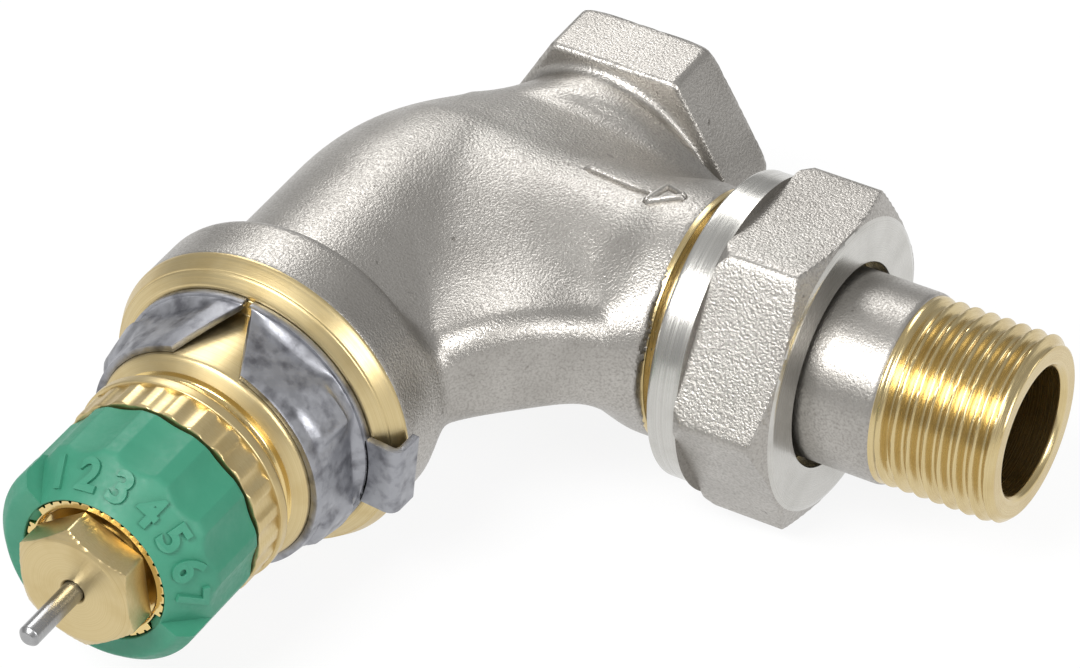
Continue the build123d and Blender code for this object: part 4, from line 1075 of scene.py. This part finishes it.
@dataclass
class UnionJoint:
    """The union: a hexagon nut with a turned collar, and the tailpiece with its pipe thread."""

    nut_back: float = 36.2
    nut_front: float = 50.6
    nut_flats: float = 33.2
    nut_corner: float = 3.0
    nut_thread: float = 13.2
    nut_bore: float = 11.5
    nut_lip: float = 2.9
    nut_face: float = 15.9
    nut_chamfer: float = 1.5
    collar: float = 17.3
    collar_length: float = 3.8
    tail_bore: float = 7.15
    tail_nose: float = 41.7
    seat_bore: float = 7.5
    seat_mouth: float = 10.6
    flange_back: float = 44.7
    flange_front: float = 47.6
    flange: float = 12.9
    tube: float = 10.7
    thread_start: float = 58.6
    thread_crest: float = 10.48
    thread_depth: float = 1.0
    thread_pitch: float = 1.814
    tail_end: float = 73.2
    end_chamfer: float = 0.95

    def nut(self, finishes: Finishes) -> bpy.types.Object:
        """The nut: a turned section whose outside is cut down to the hexagon past the collar."""
        hexagon_back = self.nut_back + self.collar_length
        corner = self.nut_flats / 2 / np.cos(np.pi / 6)
        outline = resampled(
            softened(
                [
                    (self.nut_back, self.nut_thread, 0.2),
                    (self.nut_back, self.collar, 0.35),
                    (hexagon_back, self.collar, 0.15),
                    (hexagon_back + 0.02, corner - self.nut_chamfer / 2, 0.2),
                    (hexagon_back + self.nut_chamfer, corner, 0.1),
                    (self.nut_front - self.nut_chamfer, corner, 0.1),
                    (self.nut_front, self.nut_face, 0.25),
                    (self.nut_front, self.nut_bore, 0.25),
                    (self.nut_front - self.nut_lip, self.nut_bore, 0.1),
                    (self.nut_front - self.nut_lip, self.nut_thread, 0.1),
                ]
            ),
            0.45,
        )

        def cut(along: Array, radius: Array, angle: Array) -> Array:
            """Keeps the smaller of the section and the hexagon, past the collar."""
            flat = hexagon_radius(angle, self.nut_flats, self.nut_corner)
            return np.where(along > hexagon_back + 0.01, np.minimum(radius, flat), radius)

        piece = build("union_nut_shell", *outward(lathe(UNION, outline, 540, cut)), 24.0)
        dress(piece, finishes.nut_nickel, Body.NUT, Slot.NICKEL, "union_nut")
        middles = face_middles(piece) - np.array(CROSSING)
        off = np.hypot(middles[:, 1], middles[:, 2])
        turned = (middles[:, 0] < hexagon_back) | (middles[:, 0] > self.nut_front - 0.3)
        turned |= off < self.nut_thread + 0.2
        paint(piece, finishes.collar_nickel, turned)
        return piece

    def tail(self, finishes: Finishes) -> bpy.types.Object:
        """The tailpiece: nose, flange and tube turned in one, with a helical thread at its end.

        The thread takes depth * ((1 - cos phase) / 2)^0.8 off the crest, phase being a turn for each pitch.

        Args:
            finishes: The valve's materials.

        Returns:
            The piece.
        """
        outline = softened(
            [
                (self.tail_nose, self.tail_bore, 0.15),
                (self.tail_nose, self.seat_bore, 0.1),
                (self.flange_back, self.seat_mouth, 0.1),
                (self.flange_back, self.flange, 0.2),
                (self.flange_front, self.flange, 0.3),
                (self.flange_front, self.tube, 0.3),
                (self.thread_start, self.tube, 0.3),
                (self.thread_start + 0.5, self.thread_crest, 0.2),
                (self.tail_end - self.end_chamfer, self.thread_crest, 0.2),
                (self.tail_end, self.thread_crest - self.end_chamfer, 0.25),
                (self.tail_end, self.tail_bore + 0.5, 0.2),
                (self.tail_end - 0.5, self.tail_bore, 0.2),
            ]
        )
        outline = resampled(outline, 0.12)

        def thread(along: Array, radius: Array, angle: Array) -> Array:
            """Cuts the thread into the outside of the last stretch."""
            phase = (along / self.thread_pitch + angle / TURN) * TURN
            groove = self.thread_depth * (0.5 - 0.5 * np.cos(phase)) ** 0.8
            fade = np.clip((along - self.thread_start - 0.3) / self.thread_pitch, 0.0, 1.0)
            cut = np.minimum(radius, self.cap(along) - groove * fade)
            return np.where(radius > self.tail_bore + 1.2, cut, radius)

        piece = build("union_tail", *outward(lathe(UNION, outline, 160, thread)))
        dress(piece, finishes.union_brass, Body.TAIL, Slot.BRASS, "tailpiece")
        middles = face_middles(piece) - np.array(CROSSING)
        off = np.hypot(middles[:, 1], middles[:, 2])
        plated = (middles[:, 0] > self.flange_front) & (middles[:, 0] < self.thread_start + 0.35)
        plated &= off > self.tube - 0.4
        paint(piece, finishes.tail_nickel, plated)
        return piece

    def cap(self, along: Array) -> Array:
        """Largest radius of the tail at each distance: the crest on the thread and no limit before it."""
        return np.where(along > self.thread_start + 0.3, self.thread_crest, self.flange)


@dataclass
class HeadInsert:
    """The brass insert: collar, polished groove, rim and fluted ring, with its hollow inside."""

    nose_back: float = 21.0
    nose: float = 12.3
    nose_bore: float = 9.45
    seal_from: float = 22.4
    seal_width: float = 2.2
    seal_depth: float = 1.4
    thread_back: float = 30.4
    thread: float = 14.9
    barrel_front: float = 38.0
    collar: float = 12.9
    collar_front: float = 47.0
    groove_back: float = 48.0
    groove_mouth: float = 11.5
    neck: float = 10.9
    neck_back: float = 48.3
    neck_front: float = 49.0
    rim_back: float = 50.4
    rim: float = 12.6
    rim_front: float = 51.6
    fluted: float = 12.35
    fluted_front: float = 55.2
    flutes: int = 24
    flute_cutter: float = 2.6
    flute_depth: float = 0.3
    stem_bore: float = 6.55
    ceiling: float = 43.5
    cavity: float = 11.0

    def build(self, finishes: Finishes) -> bpy.types.Object:
        """The insert: a turned section whose front ring is fluted by round cutters."""
        seal_to = self.seal_from + self.seal_width
        floor = self.nose - self.seal_depth
        outline = softened(
            [
                (self.nose_back, self.nose_bore, 0.1),
                (self.nose_back, self.nose, 0.3),
                (self.seal_from, self.nose, 0.1),
                (self.seal_from, floor, 0.1),
                (seal_to, floor, 0.1),
                (seal_to, self.nose, 0.1),
                (self.thread_back, self.nose, 0.1),
                (self.thread_back, self.thread, 0.4),
                (self.barrel_front, self.thread, 0.3),
                (self.barrel_front, self.collar, 0.2),
                (self.collar_front, self.collar, 0.35),
                (self.groove_back, self.groove_mouth, 0.12),
                (self.neck_back, self.neck, 0.25),
                (self.neck_front, self.neck, 0.1),
                (self.rim_back, self.rim, 0.35),
                (self.rim_front, self.rim, 0.2),
                (self.rim_front + 0.05, self.fluted, 0.05),
                (self.fluted_front, self.fluted, 0.35),
                (self.fluted_front, self.stem_bore, 0.2),
                (self.ceiling, self.stem_bore, 0.1),
                (self.ceiling, self.cavity, 0.2),
                (self.thread_back, self.cavity, 0.1),
                (self.thread_back, self.nose_bore, 0.1),
            ]
        )
        outline = resampled(outline, 0.6)

        def flute(along: Array, radius: Array, angle: Array) -> Array:
            """Cuts the flutes into the front ring only."""
            cut = scallop_radius(angle, self.fluted, self.flutes, self.flute_cutter, self.flute_depth, 0.0)
            return np.where(along > self.rim_front + 0.04, smooth_min(radius, cut, 0.16), radius)

        piece = build("insert_shell", *outward(lathe(HEAD, outline, 384, flute)))
        dress(piece, finishes.head_brass, Body.CASTING, Slot.BRASS, "insert_housing")
        middles = face_middles(piece) - np.array(CROSSING)
        along, off = -middles[:, 1], np.hypot(middles[:, 0], middles[:, 2])
        groove = (along > self.groove_back) & (along < self.neck_front + 0.1) & (off > self.neck - 0.3)
        paint(piece, finishes.bright_brass, groove)
        return piece


@dataclass
class LockingClip:
    """The formed sheet clip on the collar: a rim, six leaning flats, a slanting gap and a bent tab."""

    sheet: float = 0.8
    back: float = 38.1
    front: float = 46.6
    rim: float = 15.25
    foot: float = 14.95
    lip: float = 13.75
    flats: float = 27.6
    corner: float = 32.0
    gap_middle: float = 87.0
    gap_back: float = 0.5
    gap_front: float = 8.4
    lug_height: float = 0.7
    lug_width: float = 10.0
    lug_from: float = 40.2
    lug_to: float = 45.0
    lug_edge: float = 0.5
    tab_angle: float = -6.0
    tab_width: float = 8.6
    tab_reach: float = 18.35
    tab_lip: float = 3.4
    columns: int = 300

    def wall(self) -> tuple[Array, Array]:
        """The wall and rim as a sheet's middle: an open section carried round from one gap edge to the other.

        The radius is the smaller of the leaning cone and the hexagon, with soft corners, and with pressed
        lugs at the corners, away from the gap, added as bells exp(-(angle / width)^8).

        Returns:
            Points in metres and quads.
        """
        half = self.sheet / 2
        outline = softened(
            [
                (self.back + half, self.rim, 0.0),
                (self.back + half, self.foot - half, 0.7),
                (self.front, self.lip - half, 0.0),
            ],
            closed=False,
            steps=9,
        )
        outline = resampled(outline, 0.4, closed=False)
        along = np.broadcast_to(outline[:, :1], (len(outline), self.columns))
        radius = np.broadcast_to(outline[:, 1:], along.shape)
        slant = (along - self.back) / (self.front - self.back)
        opening = (self.gap_back + (self.gap_front - self.gap_back) * slant) / radius
        share = np.linspace(0.0, 1.0, self.columns)[None, :]
        angle = np.radians(self.gap_middle) + opening / 2 + share * (TURN - opening)
        flat = hexagon_radius(angle, self.flats - self.sheet, self.corner, 40.0)
        upright = np.clip((along - self.back - half) / 1.2, 0.0, 1.0)
        radius = radius + (np.minimum(radius, flat) - radius) * upright
        ends = np.minimum(along - self.lug_from, self.lug_to - along) / self.lug_edge
        off = (np.degrees(angle) - self.corner + 30.0) % 60.0 - 30.0
        clear = np.clip(np.minimum(share, 1 - share) * 12.0 - 1.0, 0.0, 1.0)
        bell = np.exp(-((off / self.lug_width) ** 8))
        radius = radius + self.lug_height * np.clip(ends, 0.0, 1.0) * clear * bell
        return HEAD.place(along, radius, angle), grid_faces(len(outline), self.columns, False, False)

    def tab(self, columns: int = 16) -> tuple[Array, Array]:
        """The tab as a sheet's middle: a strip that leaves the rim and bends over the barrel's edge.

        Args:
            columns: Points across the strip.

        Returns:
            Points in metres and quads.
        """
        half = self.sheet / 2
        line = softened(
            [
                (self.back + half, self.foot - 0.4, 0.0),
                (self.back + half, self.tab_reach, 1.0),
                (self.back + half - self.tab_lip, self.tab_reach + 0.1, 0.0),
            ],
            closed=False,
            steps=9,
        )
        line = resampled(line, 0.25, closed=False)
        across = np.linspace(-0.5, 0.5, columns)[None, :] * self.tab_width
        along = np.broadcast_to(line[:, :1], (len(line), columns))
        reach = np.broadcast_to(line[:, 1:], along.shape)
        radius = np.hypot(reach, across)
        angle = np.radians(self.tab_angle) + np.arctan2(across, reach)
        return HEAD.place(along, radius, angle), grid_faces(len(line), columns, False, False)

    def build(self, finishes: Finishes) -> bpy.types.Object:
        """The clip: both sheets, thickened evenly about their middles."""
        piece = build("clip_sheet", *joined(self.wall(), self.tab()))
        thick = piece.modifiers.new("sheet", "SOLIDIFY")
        thick.thickness = self.sheet * MM
        thick.offset = 0.0
        thick.use_even_offset = True
        edge = piece.modifiers.new("edge", "BEVEL")
        edge.width = 0.12 * MM
        edge.segments = 2
        edge.limit_method = "ANGLE"
        return dress(piece, finishes.sheet, Body.CASTING, Slot.CLIP, "locking_clip")


@dataclass
class SettingHead:
    """The setting: a fluted numbered ring, a toothed sleeve, a gland with a hexagon, and the pin."""

    ring: float = 12.15
    ring_back: float = 55.5
    ring_shoulder: float = 66.2
    ring_front: float = 67.6
    ring_chamfer: float = 1.3
    ring_bore: float = 8.5
    scale_back: float = 62.8
    scale_inner: float = 8.65
    scale_from: float = -25.0
    scale_sector: float = 160.0
    hollow: float = 10.7
    hollow_front: float = 62.6
    flutes: int = 12
    flute_first: float = 77.0
    flute_cutter: float = 11.0
    flute_depth: float = 0.5
    key_angle: float = 150.0
    key_width: float = 2.0
    key_height: float = 0.7
    digits: str = "1234567"
    digit_first: float = 118.0
    digit_step: float = 20.5
    digit_size: float = 4.8
    digit_weight: float = 0.14
    digit_height: float = 0.42
    digit_radius: float = 10.3
    sleeve: float = 8.4
    sleeve_front: float = 67.4
    recess: float = 7.2
    recess_back: float = 66.2
    teeth: int = 40
    tooth_depth: float = 0.3
    tooth_width: float = 0.3
    teeth_back: float = 60.0
    flange_back: float = 55.5
    flange_front: float = 56.9
    flange: float = 10.2
    stem: float = 6.5
    stem_back: float = 38.6
    stem_bore: float = 2.3
    clip_from: float = 42.1
    clip_width: float = 1.0
    clip_depth: float = 0.7
    seal_from: float = 47.0
    seal_width: float = 1.9
    seal_depth: float = 1.2
    gland_thread: float = 5.05
    gland_shank: float = 4.95
    gland_back: float = 57.6
    gland_hexagon_back: float = 67.5
    gland_front: float = 71.5
    gland_flats: float = 13.0
    gland_corner: float = 35.0
    gland_chamfer: float = 0.8
    gland_seal: float = 2.9
    gland_seal_depth: float = 3.0
    gland_bore: float = 1.25
    pin: float = 1.2
    pin_back: float = 44.6
    pin_front: float = 79.8
    pin_tip: float = 0.45

    def numbered_ring(self, finishes: Finishes) -> bpy.types.Object:
        """The ring: a turned cap with round flutes, a sunk cone over part of its front, and two bore keys.

        Over the scale's sector the radius stays under ring + (inner - ring) (along - back) / (front - back).

        Args:
            finishes: The valve's materials.

        Returns:
            The piece.
        """
        outline = softened(
            [
                (self.ring_back, self.hollow, 0.15),
                (self.ring_back, self.ring, 0.3),
                (self.ring_shoulder, self.ring, 0.4),
                (self.ring_front, self.ring - self.ring_chamfer, 0.35),
                (self.ring_front, self.ring_bore + 0.1, 0.1),
                (self.ring_front - 0.1, self.ring_bore, 0.1),
                (self.hollow_front, self.ring_bore, 0.15),
                (self.hollow_front, self.hollow, 0.2),
            ]
        )
        outline = resampled(outline, 0.45)

        def shape(along: Array, radius: Array, angle: Array) -> Array:
            """Cuts the flutes and the sunk cone into the outside, and raises the keys in the bore."""
            cutter, depth = self.flute_cutter, self.flute_depth
            cut = scallop_radius(angle, self.ring, self.flutes, cutter, depth, self.flute_first)
            share = (along - self.scale_back) / (self.ring_front - self.scale_back)
            cone = self.ring + (self.scale_inner - self.ring) * share + 0.02 * (radius - self.scale_inner)
            sunk = (np.degrees(angle) - self.scale_from) % 360.0 < self.scale_sector
            fluted = np.where(sunk | (along < self.scale_back), smooth_min(radius, cut, 0.06), radius)
            outer = np.where(radius > self.hollow + 0.05, fluted, radius)
            outer = np.where(sunk & (radius > self.ring_bore + 0.05), np.minimum(outer, cone), outer)
            off = (angle - np.radians(self.key_angle) + np.pi / 2) % np.pi - np.pi / 2
            key = (np.abs(off) * self.ring_bore < self.key_width / 2) & (radius < self.ring_bore + 0.05)
            key &= along < self.sleeve_front
            return np.where(key, radius - self.key_height, outer)

        piece = build("numbered_ring", *outward(lathe(HEAD, outline, 720, shape)))
        return dress(piece, finishes.green, Body.RING, Slot.GREEN, "setting_ring")

    def numbers(self, finishes: Finishes) -> bpy.types.Object:
        """The raised numbers: flat figures wrapped round the ring's cone, tops outwards.

        A figure's (x, y, z) goes to angle = middle - x / radius and up the cone by y, and out of it by z.

        Args:
            finishes: The valve's materials.

        Returns:
            The piece.
        """
        middles = self.digit_first - self.digit_step * np.arange(len(self.digits))
        parts = [self.figure(text, middle) for text, middle in zip(self.digits, middles)]
        sizes = np.cumsum([0] + [len(points) for points, _ in parts])
        points = np.concatenate([points for points, _ in parts])
        faces = [[i + int(start) for i in face] for (_, loops), start in zip(parts, sizes) for face in loops]
        mesh = bpy.data.meshes.new("ring_numbers")
        mesh.from_pydata(points.tolist(), [], faces)
        mesh.validate()
        mesh.update()
        piece = bpy.data.objects.new("ring_numbers", mesh)
        bpy.context.scene.collection.objects.link(piece)
        return dress(piece, finishes.green, Body.RING, Slot.GREEN)

    def figure(self, text: str, middle: float) -> tuple[Array, list[list[int]]]:
        """One figure on the cone.

        Args:
            text: The figure.
            middle: Its angle in degrees.

        Returns:
            Points in metres and faces.
        """
        curve = bpy.data.curves.new("figure", "FONT")
        curve.body = text
        curve.size = self.digit_size
        curve.align_x = "CENTER"
        curve.align_y = "CENTER"
        curve.extrude = self.digit_height
        curve.bevel_depth = 0.04
        curve.resolution_u = 6
        curve.offset = self.digit_weight
        maker = bpy.data.objects.new("figure", curve)
        bpy.context.scene.collection.objects.link(maker)
        mesh = bpy.data.meshes.new_from_object(maker.evaluated_get(bpy.context.evaluated_depsgraph_get()))
        flat = np.zeros(len(mesh.vertices) * 3)
        mesh.vertices.foreach_get("co", flat)
        flat = flat.reshape(-1, 3)
        loops = [list(face.vertices) for face in mesh.polygons]
        bpy.data.objects.remove(maker)
        bpy.data.curves.remove(curve)
        bpy.data.meshes.remove(mesh)
        run = np.array([self.scale_back - self.ring_front, self.ring - self.scale_inner])
        share = (self.digit_radius - self.scale_inner) / (self.ring - self.scale_inner)
        foot = np.array([self.ring_front, self.scale_inner]) + run * share
        run /= np.linalg.norm(run)
        normal = np.array([run[1], -run[0]])
        section = foot + flat[:, 1:2] * run + flat[:, 2:3] * normal
        angle = np.radians(middle) - flat[:, 0] / section[:, 1]
        return HEAD.place(section[:, 0], section[:, 1], angle), loops

    def toothed_sleeve(self, finishes: Finishes) -> bpy.types.Object:
        """The sleeve: a turned section whose head has fine notches and two keyways."""
        clip_to, seal_to = self.clip_from + self.clip_width, self.seal_from + self.seal_width
        outline = softened(
            [
                (self.stem_back, self.stem_bore, 0.05),
                (self.stem_back, self.stem, 0.2),
                (self.clip_from, self.stem, 0.05),
                (self.clip_from, self.stem - self.clip_depth, 0.05),
                (clip_to, self.stem - self.clip_depth, 0.05),
                (clip_to, self.stem, 0.05),
                (self.seal_from, self.stem, 0.05),
                (self.seal_from, self.stem - self.seal_depth, 0.05),
                (seal_to, self.stem - self.seal_depth, 0.05),
                (seal_to, self.stem, 0.05),
                (self.flange_back, self.stem, 0.1),
                (self.flange_back, self.flange, 0.15),
                (self.flange_front, self.flange, 0.15),
                (self.flange_front, self.sleeve, 0.1),
                (self.sleeve_front, self.sleeve, 0.15),
                (self.sleeve_front, self.recess + 0.35, 0.1),
                (self.sleeve_front - 0.4, self.recess, 0.1),
                (self.recess_back, self.recess, 0.1),
                (self.recess_back, self.gland_thread, 0.1),
                (self.gland_back, self.gland_thread, 0.1),
                (self.gland_back, self.stem_bore, 0.1),
            ]
        )
        outline = resampled(outline, 1.5)

        def notch(along: Array, radius: Array, angle: Array) -> Array:
            """Cuts the notches and the keyways into the head's outside."""
            pitch = TURN / self.teeth
            off = np.abs((angle + pitch / 2) % pitch - pitch / 2) * self.sleeve
            depth = np.where(off < self.tooth_width / 2, self.tooth_depth, 0.0)
            key = np.abs((angle - np.radians(self.key_angle) + np.pi / 2) % np.pi - np.pi / 2) * self.sleeve
            depth = np.where(key < self.key_width / 2 + 0.1, self.key_height, depth)
            head = (along > self.teeth_back) & (radius > self.recess + 0.1)
            return np.where(head, np.minimum(radius, self.sleeve - depth), radius)

        piece = build("toothed_sleeve", *outward(lathe(HEAD, outline, 480, notch)))
        return dress(piece, finishes.bright_brass, Body.SETTING, Slot.BRASS, "setting_sleeve")

    def gland(self, finishes: Finishes) -> bpy.types.Object:
        """The gland: a turned section whose head is cut down to a hexagon."""
        corner = self.gland_flats / 2 / np.cos(np.pi / 6)
        seal_front = self.gland_back + self.gland_seal_depth
        outline = softened(
            [
                (self.gland_back, self.gland_seal, 0.1),
                (self.gland_back, self.gland_shank, 0.2),
                (self.gland_hexagon_back, self.gland_shank, 0.1),
                (self.gland_hexagon_back, corner, 0.1),
                (self.gland_front - self.gland_chamfer, corner, 0.1),
                (self.gland_front, self.gland_flats / 2 - self.gland_chamfer / 2, 0.15),
                (self.gland_front, self.gland_bore + 0.25, 0.1),
                (self.gland_front - 0.25, self.gland_bore, 0.1),
                (seal_front, self.gland_bore, 0.05),
                (seal_front, self.gland_seal, 0.1),
            ]
        )
        outline = resampled(outline, 0.3)

        def cut(along: Array, radius: Array, angle: Array) -> Array:
            """Keeps the smaller of the section and the hexagon on the head."""
            flat = hexagon_radius(angle, self.gland_flats, self.gland_corner)
            return np.where(along > self.gland_hexagon_back - 0.01, np.minimum(radius, flat), radius)

        piece = build("gland_hexagon", *outward(lathe(HEAD, outline, 360, cut)), 24.0)
        return dress(piece, finishes.head_brass, Body.SETTING, Slot.BRASS, "gland_nut")

    def push_pin(self, finishes: Finishes) -> bpy.types.Object:
        """The pin: a turned rod with a chamfered tip, its ends closed by a small flat."""
        outline = softened(
            [
                (self.pin_back, 0.0, 0.0),
                (self.pin_back, self.pin, 0.1),
                (self.pin_front - self.pin_tip, self.pin, 0.12),
                (self.pin_front, self.pin - self.pin_tip, 0.12),
                (self.pin_front, 0.0, 0.0),
            ],
            closed=False,
        )
        outline = resampled(outline, 1.0, closed=False)
        piece = build("push_pin", *outward(lathe(HEAD, outline, 48, closed=False)))
        return dress(piece, finishes.pin_steel, Body.PIN, Slot.PIN, "pressure_pin")


@dataclass
class InnerPieces:
    """Finishes of the frame's own nodes, which keep their shape."""

    def dress(self, nodes: dict[str, bpy.types.Object], finishes: Finishes) -> None:
        """Gives each listed node of the frame its finish, from a table by name.

        Args:
            nodes: The frame's nodes by name.
            finishes: The valve's materials.
        """
        looks = {
            finishes.spring_steel: ("return_spring", "control_spring", "retaining_ring", "spindle"),
            finishes.grey: (
                "spindle_guide",
                "throttle_cylinder",
                "cartridge_cage",
                "regulator_piston",
                "regulator_housing",
            ),
            finishes.rubber: (
                "valve_disc",
                "diaphragm",
                "housing_o_ring",
                "sleeve_o_ring",
                "regulator_o_ring",
                "gland_o_ring",
            ),
            finishes.head_brass: (
                "disc_holder",
                "seat_plate",
                "gland_washer",
                "insert_housing",
                "setting_sleeve",
                "gland_nut",
            ),
            finishes.cast_nickel: ("valve_body", "union_nut"),
            finishes.union_brass: ("tailpiece",),
            finishes.sheet: ("locking_clip",),
            finishes.green: ("setting_ring",),
            finishes.pin_steel: ("pressure_pin",),
        }
        for material, names in looks.items():
            for name in names:
                nodes[name].data.materials.clear()
                nodes[name].data.materials.append(material)
                LOG.info("%s: finish %s", name, material.name)


@dataclass
class Studio:
    """The floor, the soft lights and the camera of the photograph."""

    floor_gap: float = 0.4
    floor_size: float = 4000.0
    floor_white: float = 0.88
    aim: tuple[float, float, float] = (10.0, -45.0, 0.0)
    horizon: float = 0.4
    overhead: float = 0.55
    camera_place: tuple[float, float, float] = (261.4, -470.8, 400.5)
    camera_right: tuple[float, float, float] = (0.864, 0.503, -0.003)
    camera_up: tuple[float, float, float] = (-0.312, 0.541, 0.781)
    lens: float = 200.0
    sensor: float = 36.0

    def floor(self) -> bpy.types.Object:
        """A pale floor that is white to the camera and to mirrors, and keeps a faint shadow."""
        low = float(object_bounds()[0][2]) / MM - self.floor_gap
        half = self.floor_size / 2
        corners = [(-half, -half, low), (half, -half, low), (half, half, low), (-half, half, low)]
        piece = build("floor", np.array(corners) * MM, np.array([[0, 1, 2, 3]]))
        material = bpy.data.materials.new("pale_floor")
        material.use_nodes = True
        tree = material.node_tree
        tree.nodes.clear()
        out = tree.nodes.new("ShaderNodeOutputMaterial")
        plain = tree.nodes.new("ShaderNodeBsdfDiffuse")
        plain.inputs["Color"].default_value = (0.85, 0.85, 0.85, 1.0)
        white = tree.nodes.new("ShaderNodeEmission")
        blend = tree.nodes.new("ShaderNodeMixShader")
        path = tree.nodes.new("ShaderNodeLightPath")
        seen = tree.nodes.new("ShaderNodeMath")
        seen.operation = "MAXIMUM"
        through = tree.nodes.new("ShaderNodeMath")
        through.operation = "MAXIMUM"
        share = tree.nodes.new("ShaderNodeMath")
        share.operation = "MULTIPLY"
        share.inputs[1].default_value = self.floor_white
        tree.links.new(path.outputs["Is Camera Ray"], seen.inputs[0])
        tree.links.new(path.outputs["Is Glossy Ray"], seen.inputs[1])
        tree.links.new(seen.outputs[0], through.inputs[0])
        tree.links.new(path.outputs["Is Transmission Ray"], through.inputs[1])
        tree.links.new(through.outputs[0], share.inputs[0])
        tree.links.new(share.outputs[0], blend.inputs[0])
        tree.links.new(plain.outputs[0], blend.inputs[1])
        tree.links.new(white.outputs[0], blend.inputs[2])
        tree.links.new(blend.outputs[0], out.inputs["Surface"])
        piece.data.materials.append(material)
        piece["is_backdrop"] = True
        return piece

    def lamp(self, name: str, place: tuple[float, float, float], size: float, power: float) -> None:
        """A square soft lamp that faces the middle of the valve.

        Args:
            name: The lamp's name.
            place: Its place in millimetres.
            size: Its side in millimetres.
            power: Its power in watts.
        """
        light = bpy.data.lights.new(name, "AREA")
        light.size = size * MM
        light.energy = power
        lamp = bpy.data.objects.new(name, light)
        lamp.location = Vector(place) * MM
        aim = Vector(self.aim) - Vector(place)
        lamp.rotation_euler = aim.to_track_quat("-Z", "Y").to_euler()
        bpy.context.scene.collection.objects.link(lamp)

    def world(self) -> None:
        """A studio room that is paler overhead than at the horizon."""
        world = bpy.data.worlds.new("studio")
        world.use_nodes = True
        tree = world.node_tree
        back = tree.nodes["Background"]
        place = tree.nodes.new("ShaderNodeTexCoord")
        apart = tree.nodes.new("ShaderNodeSeparateXYZ")
        ramp = tree.nodes.new("ShaderNodeMapRange")
        ramp.inputs["From Min"].default_value = 0.0
        ramp.inputs["From Max"].default_value = 0.9
        ramp.inputs["To Min"].default_value = self.horizon
        ramp.inputs["To Max"].default_value = self.overhead
        tree.links.new(place.outputs["Generated"], apart.inputs[0])
        tree.links.new(apart.outputs["Z"], ramp.inputs["Value"])
        tree.links.new(ramp.outputs["Result"], back.inputs["Color"])
        bpy.context.scene.world = world

    def camera(self) -> None:
        """The camera, as the photograph was taken."""
        data = bpy.data.cameras.new("camera")
        data.lens = self.lens
        data.sensor_width = self.sensor
        data.sensor_fit = "HORIZONTAL"
        data.clip_end = 10.0
        camera = bpy.data.objects.new("camera", data)
        right, up = Vector(self.camera_right), Vector(self.camera_up)
        turn = Matrix((right, up, right.cross(up))).transposed().to_4x4()
        camera.matrix_world = Matrix.Translation(Vector(self.camera_place) * MM) @ turn
        bpy.context.scene.collection.objects.link(camera)
        bpy.context.scene.camera = camera

    def build(self) -> None:
        """Floor, world, lamps, camera and the plain view transform."""
        self.floor()
        self.world()
        self.lamp("key", (-160.0, -640.0, 760.0), 420.0, 9.0)
        self.lamp("fill", (640.0, -260.0, 420.0), 360.0, 3.0)
        self.lamp("back", (-360.0, 420.0, 520.0), 320.0, 1.6)
        self.camera()
        bpy.context.scene.view_settings.view_transform = "Standard"


def main() -> None:
    """Builds the valve's pieces around the frame, then the studio."""
    logging.basicConfig(level=logging.INFO, format="%(message)s")
    for old in list(bpy.data.objects):
        bpy.data.objects.remove(old)
    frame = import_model()
    finishes = Finishes.make()
    InnerPieces().dress(frame["nodes"], finishes)
    casting = Casting()
    casting.build(finishes)
    fittings = BodyFittings()
    fittings.barrel_end(finishes)
    fittings.union_spigot(finishes)
    fittings.flow_arrow(casting, finishes)
    union = UnionJoint()
    union.nut(finishes)
    union.tail(finishes)
    HeadInsert().build(finishes)
    LockingClip().build(finishes)
    head = SettingHead()
    head.numbered_ring(finishes)
    head.numbers(finishes)
    head.toothed_sleeve(finishes)
    head.gland(finishes)
    head.push_pin(finishes)
    Studio().build()


if __name__ == "__main__":
    main()
